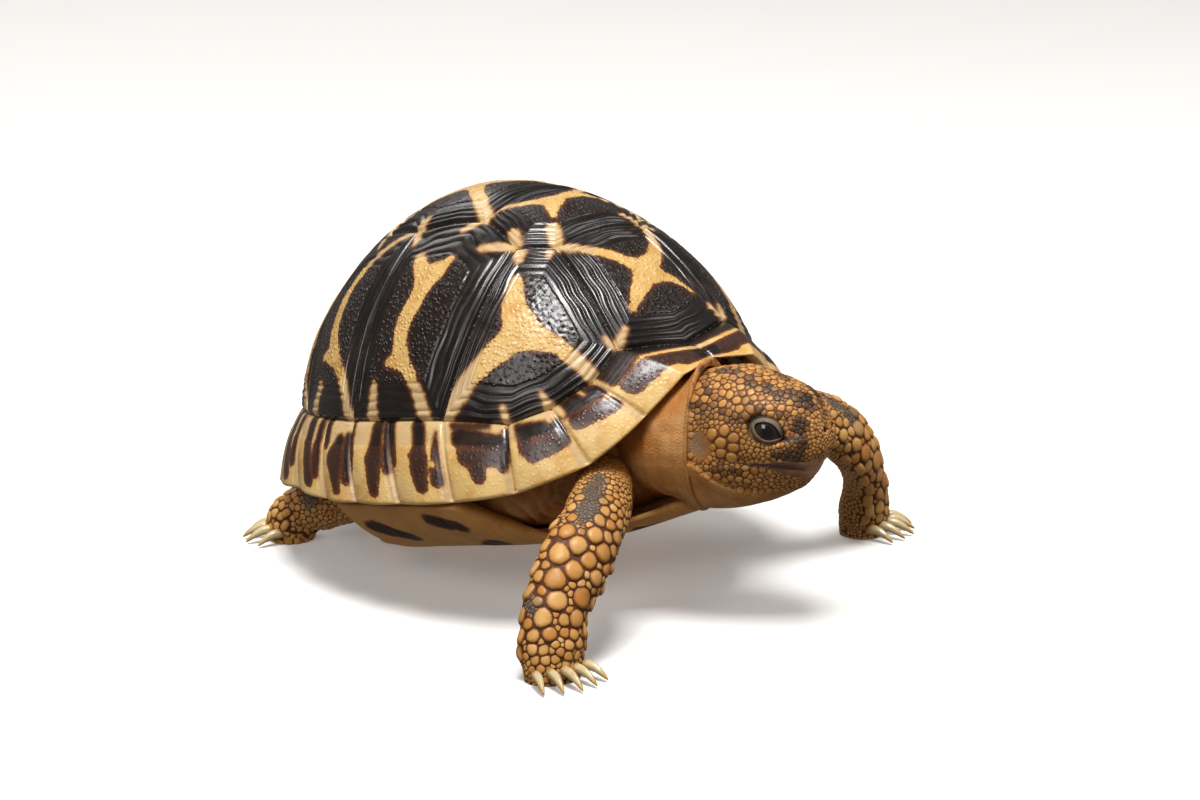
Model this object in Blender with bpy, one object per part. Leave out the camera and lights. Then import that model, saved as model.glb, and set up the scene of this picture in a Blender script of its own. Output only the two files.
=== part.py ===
"""A young star tortoise, walking: shell plates, plastron, flesh, eyes and claws as closed solids.

All sizes are in millimetres and become metres when a mesh is made. The head looks along -Y, the
animal's right side is -X, and the floor is z = 0. The shell is drawn level, in its own frame with
z = 0 on the plane of the shell's free rim, and then pitched nose up, as the animal carries it.
"""

import math

import bmesh
import bpy
from mathutils import Matrix, Vector

MM = 0.001
SEAM = 0.15            # each plate stops this far short of its seam, so two plates are 0.3 apart
CLEARANCE = 0.42       # how far a cutter's corners stand off the piece it is made from

# Shell
SHELL_HALF_LENGTH = 35.0
SHELL_HALF_WIDTH = 28.6
DOME_HEIGHT = 37.0
PLAN_POWER = 2.16      # above 2 makes the plan squarer than an ellipse
PROFILE_POWER = 1.92   # under 2 makes the dome more pointed than an ellipse
PITCH = math.radians(13.0)
SHELL_LIFT = 14.96     # height of the shell frame's origin over the floor
PLATE_INNER = 0.945    # inner face of a plate, as a share of the dome
GROOVE_SINK = 0.010    # how far the seams lie below the dome, as a share of it
AREOLA_RISE = 0.008    # how far the middle of a plate stands over the dome
RIM_THICKNESS = 1.5
TRUNK_SHARE = 0.885    # flesh inside the shell, as a share of the dome
PLASTRON_Z = -10.0
PLASTRON_THICKNESS = 2.0

# Head: stations run forward from the back of the skull
HEAD_BACK = Vector((-3.4, -31.3, 0.0))
HEAD_YAW = math.radians(20.0)
HEAD_JOIN = 3.2        # where the neck's collar ends and the head's own skin starts
EYE_STATION = 13.0
EYE_HEIGHT = 27.5
EYE_OFFSET = 4.0       # from the middle plane of the head to the middle of an eye
EYE_RADIUS = 2.4
SOCKET_OFFSET = 4.35
SOCKET_RADIUS = 2.85

# Feet
CLAW_RADIUS = 0.72
FORE_FAN = dict(total=5, spread=1.7, reach=2.6, length=4.8)
HIND_FAN = dict(total=4, spread=1.8, reach=2.5, length=4.6)

# Seam corners on the right side, in the shell frame. Each lies on the dome; the left side mirrors it.
NAPE = (0.0, -32.3, 13.2)
V1_V2 = (-8.0, -19.7, 28.4)
V2_V3 = (-9.6, -9.3, 33.2)
V3_V4 = (-9.8, 10.5, 32.8)
V4_V5 = (-7.6, 23.0, 25.5)
C1_C2 = (-11.3, -16.0, 29.2)
C2_C3 = (-12.2, 1.3, 33.1)
C3_C4 = (-11.6, 18.3, 27.6)
# The row where the costal plates meet the marginal plates, from the nape to the tail
RIM_TOP = (
    NAPE, (-9.9, -29.9, 14.6), (-14.4, -28.9, 11.4), (-19.2, -25.6, 9.1),
    (-22.9, -20.9, 8.0), (-26.1, -12.1, 9.6), (-27.3, -3.0, 10.2), (-27.0, 4.6, 10.4),
    (-26.0, 11.0, 10.8), (-23.2, 18.6, 11.2), (-18.6, 25.2, 11.4), (-13.0, 29.6, 11.6),
    (-6.6, 32.6, 10.4),
)
# The free edge below each of those corners
RIM_EDGE = (
    (0.0, -36.3, 11.4), (-6.4, -36.4, 10.4), (-12.0, -34.6, 6.3), (-18.9, -30.2, 1.8),
    (-25.0, -22.4, -0.3), (-28.6, -14.3, -0.4), (-30.1, -5.6, 0.0), (-30.4, 2.7, 0.5),
    (-29.8, 9.4, 1.0), (-27.6, 17.4, 2.3), (-23.6, 25.8, 2.4), (-16.8, 32.2, 1.6),
    (-8.2, 36.2, 0.2),
)
TAIL_TOP = (0.0, 33.8, 10.0)
TAIL_EDGE = (0.0, 37.4, -1.2)

BLACK_PLATE = ("plate_horn", (0.016, 0.011, 0.009), 0.32)
PALE_PLATE = ("plastron_horn", (0.72, 0.52, 0.24), 0.4)
SKIN = ("skin", (0.55, 0.33, 0.13), 0.6)
SCALED_SKIN = ("scaled_skin", (0.62, 0.42, 0.2), 0.55)
EYE_DARK = ("eye", (0.008, 0.007, 0.007), 0.08)
CLAW_HORN = ("claw_horn", (0.6, 0.47, 0.27), 0.35)


# ---------------------------------------------------------------------------- helpers

def clear_scene():
    for obj in list(bpy.data.objects):
        bpy.data.objects.remove(obj, do_unlink=True)


def material_of(finish):
    name, colour, roughness = finish
    material = bpy.data.materials.get(name)
    if material is None:
        material = bpy.data.materials.new(name)
        material.use_nodes = True
        shader = material.node_tree.nodes["Principled BSDF"]
        shader.inputs["Base Color"].default_value = (*colour, 1.0)
        shader.inputs["Roughness"].default_value = roughness
        shader.inputs["Metallic"].default_value = 0.0
    return material


def add_object(name, points, faces, finish, parent, smooth_angle=40.0):
    """One closed mesh object from points in millimetres, its faces turned outward."""
    mesh = bpy.data.meshes.new(name)
    mesh.from_pydata([Vector(p) * MM for p in points], [], faces)
    work = bmesh.new()
    work.from_mesh(mesh)
    bmesh.ops.recalc_face_normals(work, faces=work.faces)
    bmesh.ops.triangulate(work, faces=work.faces)
    work.to_mesh(mesh)
    work.free()
    mesh.shade_smooth()
    mesh.set_sharp_from_angle(angle=math.radians(smooth_angle))
    mesh.materials.append(material_of(finish))
    obj = bpy.data.objects.new(name, mesh)
    bpy.context.scene.collection.objects.link(obj)
    obj.parent = parent
    return obj


def loft(rings):
    """Faces of a tube through rings of equal count, closed with a fan at each end."""
    count = len(rings[0])
    points = [p for ring in rings for p in ring]
    faces = []
    for i in range(len(rings) - 1):
        for j in range(count):
            k = (j + 1) % count
            a = i * count
            b = a + count
            faces.append((a + j, a + k, b + k, b + j))
    start = sum((Vector(p) for p in rings[0]), Vector()) / count
    end = sum((Vector(p) for p in rings[-1]), Vector()) / count
    points += [start, end]
    last = (len(rings) - 1) * count
    for j in range(count):
        k = (j + 1) % count
        faces.append((j, k, len(points) - 2))
        faces.append((last + j, last + k, len(points) - 1))
    return points, faces


def through(values, t):
    """A smooth curve (Catmull-Rom) through a row of numbers or vectors, at t from 0 to 1."""
    span = t * (len(values) - 1)
    i = min(int(span), len(values) - 2)
    u = span - i
    b = values[i]
    c = values[i + 1]
    a = values[i - 1] if i > 0 else b + (b - c)
    d = values[i + 2] if i + 2 < len(values) else c + (c - b)
    slope_b = (c - a) * 0.5
    slope_c = (d - b) * 0.5
    return (b * (2 * u**3 - 3 * u**2 + 1) + slope_b * (u**3 - 2 * u**2 + u)
            + c * (3 * u**2 - 2 * u**3) + slope_c * (u**3 - u**2))


def smooth_step(low, high, x):
    t = max(0.0, min(1.0, (x - low) / (high - low)))
    return t * t * (3 - 2 * t)


def flip(point):
    """The same point on the other side of the animal."""
    x, y, z = point
    return (-x, y, z)


def mirrored(points):
    return [flip(p) for p in points]


def standing(point):
    """A point of the shell frame, pitched nose up and lifted to its height over the floor."""
    return Matrix.Rotation(-PITCH, 3, "X") @ Vector(point) + Vector((0, 0, SHELL_LIFT))


def keep_clear(obj, others, grow=CLEARANCE):
    """Cuts obj away from each of the others, with a gap, by a slightly larger hidden copy."""
    for other in others:
        name = f"cut_{other.name}"
        cutter = bpy.data.objects.get(name)
        if cutter is None:
            mesh = other.data.copy()
            for vertex, normal in zip(mesh.vertices, [v.normal.copy() for v in mesh.vertices]):
                vertex.co += normal * grow * MM
            cutter = bpy.data.objects.new(name, mesh)
            bpy.context.scene.collection.objects.link(cutter)
            cutter.parent = other.parent
            cutter.hide_render = True
            cutter.display_type = "WIRE"
            cutter.hide_viewport = True
        cut = obj.modifiers.new(f"clear_{other.name}", "BOOLEAN")
        cut.operation = "DIFFERENCE"
        cut.object = cutter


# ---------------------------------------------------------------------------- shell

def dome_share(point):
    """How far out a point lies, where 1 is the dome's own surface."""
    x, y, z = point
    plan = (abs(x / SHELL_HALF_WIDTH) ** PLAN_POWER
            + abs(y / SHELL_HALF_LENGTH) ** PLAN_POWER) ** (PROFILE_POWER / PLAN_POWER)
    return (plan + abs(z / DOME_HEIGHT) ** PROFILE_POWER) ** (1 / PROFILE_POWER)


def on_dome(point, share=1.0):
    return Vector(point) * (share / dome_share(point))


def seam_loop(corners, steps):
    """The outline of a plate on the dome: each side between two corners in so many steps."""
    loop = []
    for i, corner in enumerate(corners):
        following = Vector(corners[(i + 1) % len(corners)])
        for step in range(steps):
            loop.append(on_dome(Vector(corner).lerp(following, step / steps)))
    return loop


def dome_plate(name, corners, parent, steps=3):
    """A horny plate of the dome: sunk at its seams, and raised round the middle."""
    loop = seam_loop(corners, steps)
    middle = on_dome(sum(loop, Vector()) / len(loop))
    loop = [p + (middle - p).normalized() * SEAM for p in loop]
    levels = ((0.0, 1 - GROOVE_SINK), (0.12, 1.0), (0.42, 1.0 + AREOLA_RISE * 0.4),
              (0.62, 1.0 + AREOLA_RISE))
    rings = [[on_dome(p.lerp(middle, inward), share) for p in loop] for inward, share in levels]
    rings.insert(0, [on_dome(p, PLATE_INNER) for p in loop])
    count = len(loop)
    points = [p for ring in rings for p in ring]
    points += [on_dome(middle, PLATE_INNER), on_dome(middle, 1.0 + AREOLA_RISE)]
    faces = []
    for i in range(len(rings) - 1):
        for j in range(count):
            k = (j + 1) % count
            faces.append((i * count + j, i * count + k, (i + 1) * count + k, (i + 1) * count + j))
    last = (len(rings) - 1) * count
    for j in range(count):
        k = (j + 1) % count
        faces.append((j, k, len(points) - 2))
        faces.append((last + j, last + k, len(points) - 1))
    return add_object(name, [standing(p) for p in points], faces, BLACK_PLATE, parent, 30.0)


def dome_plates(parent):
    """Five plates along the back and four down each side."""
    nape_side = RIM_TOP[1]
    tail_side = RIM_TOP[11]
    tail_corner = RIM_TOP[12]
    plates = [
        dome_plate("vertebral_1", [NAPE, nape_side, V1_V2, flip(V1_V2), flip(nape_side)], parent),
        dome_plate("vertebral_2", [V1_V2, C1_C2, V2_V3, flip(V2_V3), flip(C1_C2), flip(V1_V2)],
                   parent, 2),
        dome_plate("vertebral_3", [V2_V3, C2_C3, V3_V4, flip(V3_V4), flip(C2_C3), flip(V2_V3)],
                   parent),
        dome_plate("vertebral_4", [V3_V4, C3_C4, V4_V5, flip(V4_V5), flip(C3_C4), flip(V3_V4)],
                   parent, 2),
        dome_plate("vertebral_5", [V4_V5, tail_side, tail_corner, TAIL_TOP, flip(tail_corner),
                                   flip(tail_side), flip(V4_V5)], parent, 2),
    ]
    costals = [
        [nape_side, V1_V2, C1_C2, RIM_TOP[5], RIM_TOP[4], RIM_TOP[3], RIM_TOP[2]],
        [C1_C2, V2_V3, C2_C3, RIM_TOP[7], RIM_TOP[6], RIM_TOP[5]],
        [C2_C3, V3_V4, C3_C4, RIM_TOP[9], RIM_TOP[8], RIM_TOP[7]],
        [C3_C4, V4_V5, tail_side, RIM_TOP[10], RIM_TOP[9]],
    ]
    for number, corners in enumerate(costals, start=1):
        plates.append(dome_plate(f"costal_right_{number}", corners, parent, 2))
        plates.append(dome_plate(f"costal_left_{number}", [flip(c) for c in corners], parent, 2))
    return plates


def rim_column(top, edge):
    """Outer and inner points of the rim, from its seam with the dome down to its free edge."""
    outward = Vector((top[0], top[1], 0.0)).normalized()
    upper = on_dome(top, 1 - GROOVE_SINK)
    lower = Vector(edge)
    upper_in = on_dome(top, PLATE_INNER)
    lower_in = lower - outward * RIM_THICKNESS
    along = (lower - upper).normalized() * SEAM
    upper = upper + along
    upper_in = upper_in + along
    outer = []
    inner = []
    for share, bulge in ((0.0, 0.0), (0.25, 0.75), (0.65, 0.6), (1.0, 0.0)):
        outer.append(upper.lerp(lower, share) + outward * bulge)
        inner.append(upper_in.lerp(lower_in, share))
    return outer + inner[::-1]


def rim_strip(name, tops, edges, parent, steps=2):
    """Several marginal plates in a row, their free edge scalloped by one plate at a time."""
    rings = []
    spans = len(tops) - 1
    for span in range(spans):
        for step in range(steps + (span == spans - 1)):
            share = step / steps
            top = Vector(tops[span]).lerp(Vector(tops[span + 1]), share)
            edge = Vector(edges[span]).lerp(Vector(edges[span + 1]), share)
            outward = Vector((edge.x, edge.y, 0.0)).normalized()
            rings.append([top, edge + outward * 0.9 * math.sin(math.pi * share)])
    shift_first = (rings[1][0] - rings[0][0]).normalized() * SEAM
    shift_last = (rings[-2][0] - rings[-1][0]).normalized() * SEAM
    rings[0] = [p + shift_first for p in rings[0]]
    rings[-1] = [p + shift_last for p in rings[-1]]
    columns = [[standing(p) for p in rim_column(top, edge)] for top, edge in rings]
    points, faces = loft(columns)
    return add_object(name, points, faces, BLACK_PLATE, parent, 30.0)


def rim(parent):
    """Eleven marginal plates a side, in three lengths, and the one over the tail."""
    strips = []
    lengths = (("front", 0, 4), ("bridge", 4, 8), ("rear", 8, 12))
    for part, start, stop in lengths:
        right_tops = RIM_TOP[start:stop + 1]
        right_edges = RIM_EDGE[start:stop + 1]
        strips.append(rim_strip(f"rim_right_{part}", right_tops, right_edges, parent))
        strips.append(rim_strip(f"rim_left_{part}", mirrored(right_tops), mirrored(right_edges),
                                parent))
    tops = (RIM_TOP[12], TAIL_TOP, flip(RIM_TOP[12]))
    edges = (RIM_EDGE[12], TAIL_EDGE, flip(RIM_EDGE[12]))
    strips.append(rim_strip("supracaudal", tops, edges, parent))
    return strips


def plastron_section(y):
    """Half of the belly plate's outline across at y, from the middle to its outer edge."""
    front = smooth_step(-17.0, -13.0, y)
    rear = 1 - smooth_step(9.5, 13.5, y)
    bridge = front * rear
    if y < 0:
        lobe = 15.5 - 8.0 * smooth_step(-18.0, -34.5, y) ** 1.3
    else:
        lobe = 15.5 - 7.0 * smooth_step(12.0, 31.5, y) ** 1.2
    # The lobes' corners are rounded off, the rear one's more
    lobe -= 3.2 * smooth_step(-27.5, -32.0, y) ** 2 + 5.0 * smooth_step(25.5, 31.7, y) ** 2
    bottom = PLASTRON_Z + 2.4 * smooth_step(-20.0, -36.0, y) + 2.7 * smooth_step(18.0, 32.0, y)
    half_width = lobe + (28.3 - lobe) * bridge
    edge_top = -1.5 + 0.05 * (y + 14.0)
    climb = 1.2 + (edge_top - bottom - 1.2) * bridge
    outer = []
    inner = []
    for share in (0.0, 0.3, 0.55, 0.75, 0.9, 1.0):
        rise = share ** (5.0 - 1.8 * bridge)
        outer.append((half_width * share ** (1 - 0.22 * bridge), bottom + climb * rise))
        lean = 0.0 if share < 0.5 else (share - 0.5) * 2
        inner.append((outer[-1][0] - 2.0 * lean * bridge - 0.4 * lean,
                      outer[-1][1] + PLASTRON_THICKNESS * (1 - 0.7 * lean)))
    return outer, inner


def plastron(parent):
    """The belly plate, with the bridges that reach up to the rim between the legs."""
    front = -31.5
    rear = 31.5
    stations = [front + (rear - front) * i / 22 for i in range(23)]
    rings = []
    for y in stations:
        outer, inner = plastron_section(y)
        right_outer = [(-x, y, z) for x, z in outer[::-1]]
        left_outer = [(x, y, z) for x, z in outer[1:]]
        left_inner = [(x, y, z) for x, z in inner[::-1]]
        right_inner = [(-x, y, z) for x, z in inner[1:]]
        rings.append([standing(p) for p in right_outer + left_outer + left_inner + right_inner])
    points, faces = loft(rings)
    return add_object("plastron", points, faces, PALE_PLATE, parent)


def trunk(parent):
    """The flesh inside the shell, seen at the openings for the neck, legs and tail."""
    around = 20
    levels = 5
    rings = []
    for level in range(-levels, levels + 1):
        slope = 0.5 * math.pi * level / (levels + 0.5)
        ring = []
        for i in range(around):
            turn = 2 * math.pi * i / around
            flat = Vector((math.sin(turn), math.cos(turn), 0.0)) * math.cos(slope)
            if level >= 0:
                point = on_dome(flat + Vector((0, 0, math.sin(slope))), TRUNK_SHARE)
            else:
                rim_point = on_dome((flat.x, flat.y, 0.0), TRUNK_SHARE)
                point = rim_point * math.cos(slope) + Vector((0, 0, 7.2 * math.sin(slope)))
            ring.append(standing(point))
        rings.append(ring)
    points, faces = loft(rings)
    return add_object("trunk", points, faces, SKIN, parent)


# ---------------------------------------------------------------------------- head and neck

HEAD_STATIONS = (
    # forward, top, bottom, half width, height of the widest level
    (0.0, 32.6, 15.0, 6.6, 24.4),
    (3.0, 33.3, 14.8, 7.2, 24.6),
    (6.0, 34.0, 15.0, 7.5, 25.2),
    (9.0, 34.3, 15.6, 7.3, 25.8),
    (12.0, 33.6, 16.6, 6.7, 26.4),
    (14.5, 33.0, 17.7, 5.9, 26.2),
    (16.5, 32.3, 18.9, 5.1, 25.8),
    (18.0, 31.2, 20.3, 4.3, 25.6),
    (19.2, 29.5, 21.7, 3.5, 25.6),
    (20.0, 27.8, 23.2, 2.5, 25.6),
    (20.4, 26.5, 24.4, 1.2, 25.6),
)


def head_axes():
    forward = Vector((math.sin(HEAD_YAW), -math.cos(HEAD_YAW), 0.0))
    left = Vector((math.cos(HEAD_YAW), math.sin(HEAD_YAW), 0.0))
    return forward, left


def head_at(forward_mm, left_mm, height):
    forward, left = head_axes()
    return HEAD_BACK + forward * forward_mm + left * left_mm + Vector((0, 0, height))


def head_ring(values, count):
    """An egg-shaped cross-section, narrower below the mouth than above it."""
    station, top, bottom, half_width, level = values
    power = 2.0 / 2.25
    ring = []
    for i in range(count):
        turn = 2 * math.pi * i / count
        side = math.copysign(abs(math.cos(turn)) ** power, math.cos(turn))
        rise = math.copysign(abs(math.sin(turn)) ** power, math.sin(turn))
        height = level + rise * ((top - level) if rise > 0 else (level - bottom))
        jaw = 1 - 0.10 * smooth_step(level - 1.0, bottom, height)
        brow = 0.35 * math.exp(-((station - EYE_STATION) / 3.0) ** 2
                               - ((height - EYE_HEIGHT - 3.2) / 1.3) ** 2)
        ring.append(head_at(station, side * half_width * jaw + math.copysign(brow, side), height))
    return ring


def station_between(position):
    """The head's sizes at a station between the listed ones, on smooth curves through them."""
    places = [row[0] for row in HEAD_STATIONS]
    low = max(i for i, place in enumerate(places[:-1]) if place <= position)
    share = (position - places[low]) / (places[low + 1] - places[low])
    t = (low + share) / (len(places) - 1)
    return [position] + [through([row[k] for row in HEAD_STATIONS], t) for k in (1, 2, 3, 4)]


def head(parent):
    """The head from the collar to the tip of the beak, with a socket for each eye."""
    stations = [HEAD_JOIN + (18.6 - HEAD_JOIN) * i / 11 for i in range(12)]
    stations += [19.4, 20.0, 20.3]
    rings = [head_ring(station_between(s), 20) for s in stations]
    points, faces = loft(rings)
    made = add_object("head", points, faces, SCALED_SKIN, parent)
    for side in (-1, 1):
        socket = ball(f"cut_socket_{'right' if side < 0 else 'left'}",
                      head_at(EYE_STATION, side * SOCKET_OFFSET, EYE_HEIGHT), SOCKET_RADIUS, parent)
        socket.hide_render = True
        socket.display_type = "WIRE"
        socket.hide_viewport = True
        cut = made.modifiers.new("socket", "BOOLEAN")
        cut.operation = "DIFFERENCE"
        cut.object = socket
    return made


def ball(name, centre, radius, parent, around=14, levels=8):
    rings = []
    for level in range(1, levels):
        slope = math.pi * level / levels - math.pi / 2
        rings.append([centre + radius * Vector((math.cos(slope) * math.cos(turn),
                                                math.cos(slope) * math.sin(turn),
                                                math.sin(slope)))
                      for turn in (2 * math.pi * i / around for i in range(around))])
    points, faces = loft(rings)
    points[-2] = centre - Vector((0, 0, radius))
    points[-1] = centre + Vector((0, 0, radius))
    return add_object(name, points, faces, EYE_DARK, parent, 80.0)


def eyes(parent):
    return [ball(f"eye_{side}", head_at(EYE_STATION, sign * EYE_OFFSET, EYE_HEIGHT),
                 EYE_RADIUS, parent)
            for side, sign in (("right", -1), ("left", 1))]


def neck(parent):
    """The neck, from inside the trunk to the loose collar behind the head."""
    station, top, bottom, half_width, level = station_between(HEAD_JOIN - 0.3)
    collar = Vector(head_at(station, 0, 0.5 * (top + bottom)))
    middle = (Vector((0.0, -19.0, 20.5)), Vector((-1.3, -24.5, 22.4)),
              Vector((-2.9, -29.3, 24.1)), collar - head_axes()[0] * 2.2, collar)
    widths = (8.6, 9.2, 8.8, 8.1, 7.6)
    heights = (8.4, 8.6, 8.4, 8.3, 0.5 * (top - bottom) + 0.25)
    rings = []
    count = 20
    steps = 9
    for i in range(steps + 1):
        t = i / steps
        centre = through(middle, t)
        ahead = (through(middle, min(1.0, t + 0.02)) - through(middle, max(0.0, t - 0.02)))
        if i == steps:
            ahead = head_axes()[0]
        ahead.z = 0.0
        ahead.normalize()
        across = Vector((0, 0, 1)).cross(ahead)
        half_wide = through(widths, t)
        half_high = through(heights, t)
        rings.append([centre + across * (half_wide * math.cos(turn))
                      + Vector((0, 0, half_high * math.sin(turn)))
                      for turn in (2 * math.pi * k / count for k in range(count))])
    points, faces = loft(rings)
    return add_object("neck", points, faces, SKIN, parent)


# ---------------------------------------------------------------------------- legs and tail

# Each leg: its middle line, half width and half thickness down to the sole, the way its broad
# face looks, and the way its toes point.
LEGS = {
    "foreleg_right": dict(
        line=((-7, -19, 18.5), (-13.4, -26.2, 19.4), (-19.5, -31.2, 17.6), (-26.2, -33.6, 13.2),
              (-30.8, -34.5, 8.2), (-32.2, -35.2, 3.6), (-32.5, -35.5, 0.0)),
        wide=(3.6, 3.9, 4.5, 4.9, 4.4, 4.4, 4.0), thick=(3.6, 3.8, 3.7, 3.4, 3.2, 3.7, 3.6),
        face=(-0.55, -0.8, 0.2), toes=(-0.22, -0.975)),
    "foreleg_left": dict(
        line=((7, -18, 18.5), (15.4, -25.0, 19.8), (23.6, -28.6, 19.8), (31.0, -28.8, 15.2),
              (35.8, -27.2, 9.2), (37.2, -26.0, 4.0), (37.4, -25.6, 0.0)),
        wide=(3.6, 3.9, 4.5, 4.9, 4.4, 4.4, 4.0), thick=(3.6, 3.8, 3.7, 3.4, 3.2, 3.7, 3.6),
        face=(0.55, -0.8, 0.3), toes=(0.42, -0.91)),
    "hindleg_right": dict(
        line=((-8, 15, 11.0), (-11.6, 21.6, 8.2), (-14.2, 27.2, 5.8), (-15.6, 31.0, 4.4),
              (-16.2, 32.6, 2.4), (-16.4, 32.9, 0.0)),
        wide=(4.4, 4.8, 4.4, 3.9, 4.1, 3.7), thick=(4.0, 4.2, 3.9, 3.6, 3.9, 3.5),
        face=(-0.2, 0.6, 0.8), toes=(-0.86, 0.5)),
    "hindleg_left": dict(
        line=((8, 12, 11.0), (13.8, 19.0, 8.4), (18.0, 23.8, 6.2), (20.4, 26.8, 4.6),
              (21.2, 27.8, 2.4), (21.4, 28.0, 0.0)),
        wide=(4.4, 4.8, 4.4, 3.9, 4.1, 3.7), thick=(4.0, 4.2, 3.9, 3.6, 3.9, 3.5),
        face=(0.2, 0.6, 0.8), toes=(0.93, 0.37)),
}


def leg(name, line, wide, thick, face, toes, parent):
    """A leg lofted down its middle line, ending in a sole that is flat on the floor."""
    line = [Vector(p) for p in line]
    count = 12
    steps = 2 * (len(line) - 1)
    rings = []
    for i in range(steps + 1):
        t = i / steps
        centre = through(line, t)
        down = through(line, min(1.0, t + 0.03)) - through(line, max(0.0, t - 0.03))
        if i >= steps - 1:
            down = Vector((0, 0, -1))
        down.normalize()
        across = down.cross(Vector(face)).normalized()
        if i >= steps - 1:
            across = Vector((toes[1], -toes[0], 0.0))
        fore = across.cross(down).normalized()
        rings.append([centre + across * (through(wide, t) * math.cos(turn))
                      + fore * (through(thick, t) * math.sin(turn))
                      for turn in (2 * math.pi * k / count for k in range(count))])
    rings = [[Vector((p.x, p.y, max(p.z, 0.0))) for p in ring] for ring in rings]
    points, faces = loft(rings)
    return add_object(name, points, faces, SCALED_SKIN, parent)


def claw(name, base, tip, radius, parent):
    """A curved, pointed claw of four rings."""
    count = 8
    reach = tip - base
    rings = []
    for share, thickness in ((0.0, 1.0), (0.35, 0.9), (0.7, 0.62), (0.97, 0.26)):
        centre = base + reach * share + Vector((0, 0, 0.55 * math.sin(math.pi * share)))
        across = Vector((0, 0, 1)).cross(reach).normalized()
        upward = reach.cross(across).normalized()
        rings.append([centre + across * (0.82 * radius * thickness * math.cos(turn))
                      + upward * (radius * thickness * math.sin(turn))
                      for turn in (2 * math.pi * k / count for k in range(count))])
    rings = [[Vector((p.x, p.y, max(p.z, 0.06))) for p in ring] for ring in rings]
    points, faces = loft(rings)
    return add_object(name, points, faces, CLAW_HORN, parent, 70.0)


def claws_of(name, sole, toes, total, spread, reach, length, parent):
    """A row of claws fanned across the front of one foot."""
    made = []
    ahead = Vector((toes[0], toes[1], 0.0)).normalized()
    aside = Vector((-ahead.y, ahead.x, 0.0))
    for i in range(total):
        place = i - 0.5 * (total - 1)
        share = abs(place) / (0.5 * (total - 1))
        way = (ahead + aside * 0.16 * place).normalized()
        base = (Vector(sole) + aside * (spread * place) + ahead * (reach - 0.9 * share**2)
                + Vector((0, 0, 1.75 - 0.25 * share)))
        tip = base + way * length * (1 - 0.12 * share)
        tip.z = 0.35
        made.append(claw(f"claw_{name}_{i + 1}", base, tip, CLAW_RADIUS, parent))
    return made


def tail(parent):
    """A short tail, tucked to one side under the rim."""
    middle = (Vector((0.0, 26.0, 5.6)), Vector((0.8, 30.0, 4.9)), Vector((2.0, 33.2, 3.6)),
              Vector((3.2, 35.4, 2.2)))
    radii = (2.8, 2.3, 1.6, 0.6)
    count = 12
    rings = []
    for i in range(7):
        t = i / 6
        along = through(middle, min(1.0, t + 0.03)) - through(middle, max(0.0, t - 0.03))
        along.normalize()
        across = along.cross(Vector((0, 0, 1))).normalized()
        upward = across.cross(along).normalized()
        rings.append([through(middle, t) + through(radii, t) * (across * math.cos(turn)
                                                               + upward * math.sin(turn))
                      for turn in (2 * math.pi * k / count for k in range(count))])
    points, faces = loft(rings)
    return add_object("tail", points, faces, SCALED_SKIN, parent)


# ---------------------------------------------------------------------------- whole animal

def centre_on_floor(root, pieces):
    """Moves the animal so that the middle of its box's floor side is the origin."""
    bpy.context.view_layer.update()
    graph = bpy.context.evaluated_depsgraph_get()
    corners = [obj.evaluated_get(graph).matrix_world @ Vector(corner)
               for obj in pieces for corner in obj.evaluated_get(graph).bound_box]
    low = Vector([min(c[k] for c in corners) for k in range(3)])
    high = Vector([max(c[k] for c in corners) for k in range(3)])
    root.location = Vector((-0.5 * (low.x + high.x), -0.5 * (low.y + high.y), -low.z))


def main():
    clear_scene()
    root = bpy.data.objects.new("tortoise", None)
    bpy.context.scene.collection.objects.link(root)
    plates = dome_plates(root)
    strips = rim(root)
    belly = plastron(root)
    flesh = trunk(root)
    shell = {piece.name: piece for piece in plates + strips}
    pieces = plates + strips + [belly, flesh]

    made_neck = neck(root)
    keep_clear(made_neck, [flesh, shell["vertebral_1"], shell["rim_right_front"],
                           shell["rim_left_front"], belly])
    pieces += [made_neck, head(root)] + eyes(root)

    for name, spec in LEGS.items():
        made = leg(name, parent=root, **spec)
        front = name.startswith("fore")
        side = name.split("_")[1]
        blocks = [flesh, belly, shell[f"rim_{side}_{'front' if front else 'rear'}"],
                  shell[f"rim_{side}_bridge"]]
        if front:
            blocks.append(made_neck)
        fan = FORE_FAN if front else HIND_FAN
        short_name = name.replace("leg", "")
        claws = claws_of(short_name, spec["line"][-1], spec["toes"], parent=root, **fan)
        keep_clear(made, blocks + claws)
        pieces += [made] + claws

    made_tail = tail(root)
    keep_clear(made_tail, [flesh, belly, shell["supracaudal"]])
    pieces.append(made_tail)
    centre_on_floor(root, pieces)


main()
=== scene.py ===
"""A young star tortoise, dressed: horn plates, one skin with its scales, eyes, beak and claws.

Lengths are millimetres in the animal's own frame (head along -Y, right side -X, floor at z = 0)
until a mesh is made. The shell is drawn level in a frame of its own and then pitched nose up.
"""

import logging
import math
from collections.abc import Callable
from dataclasses import dataclass, field

import bpy
import numpy as np
from mathutils import Matrix, Vector
from mathutils.bvhtree import BVHTree


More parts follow.
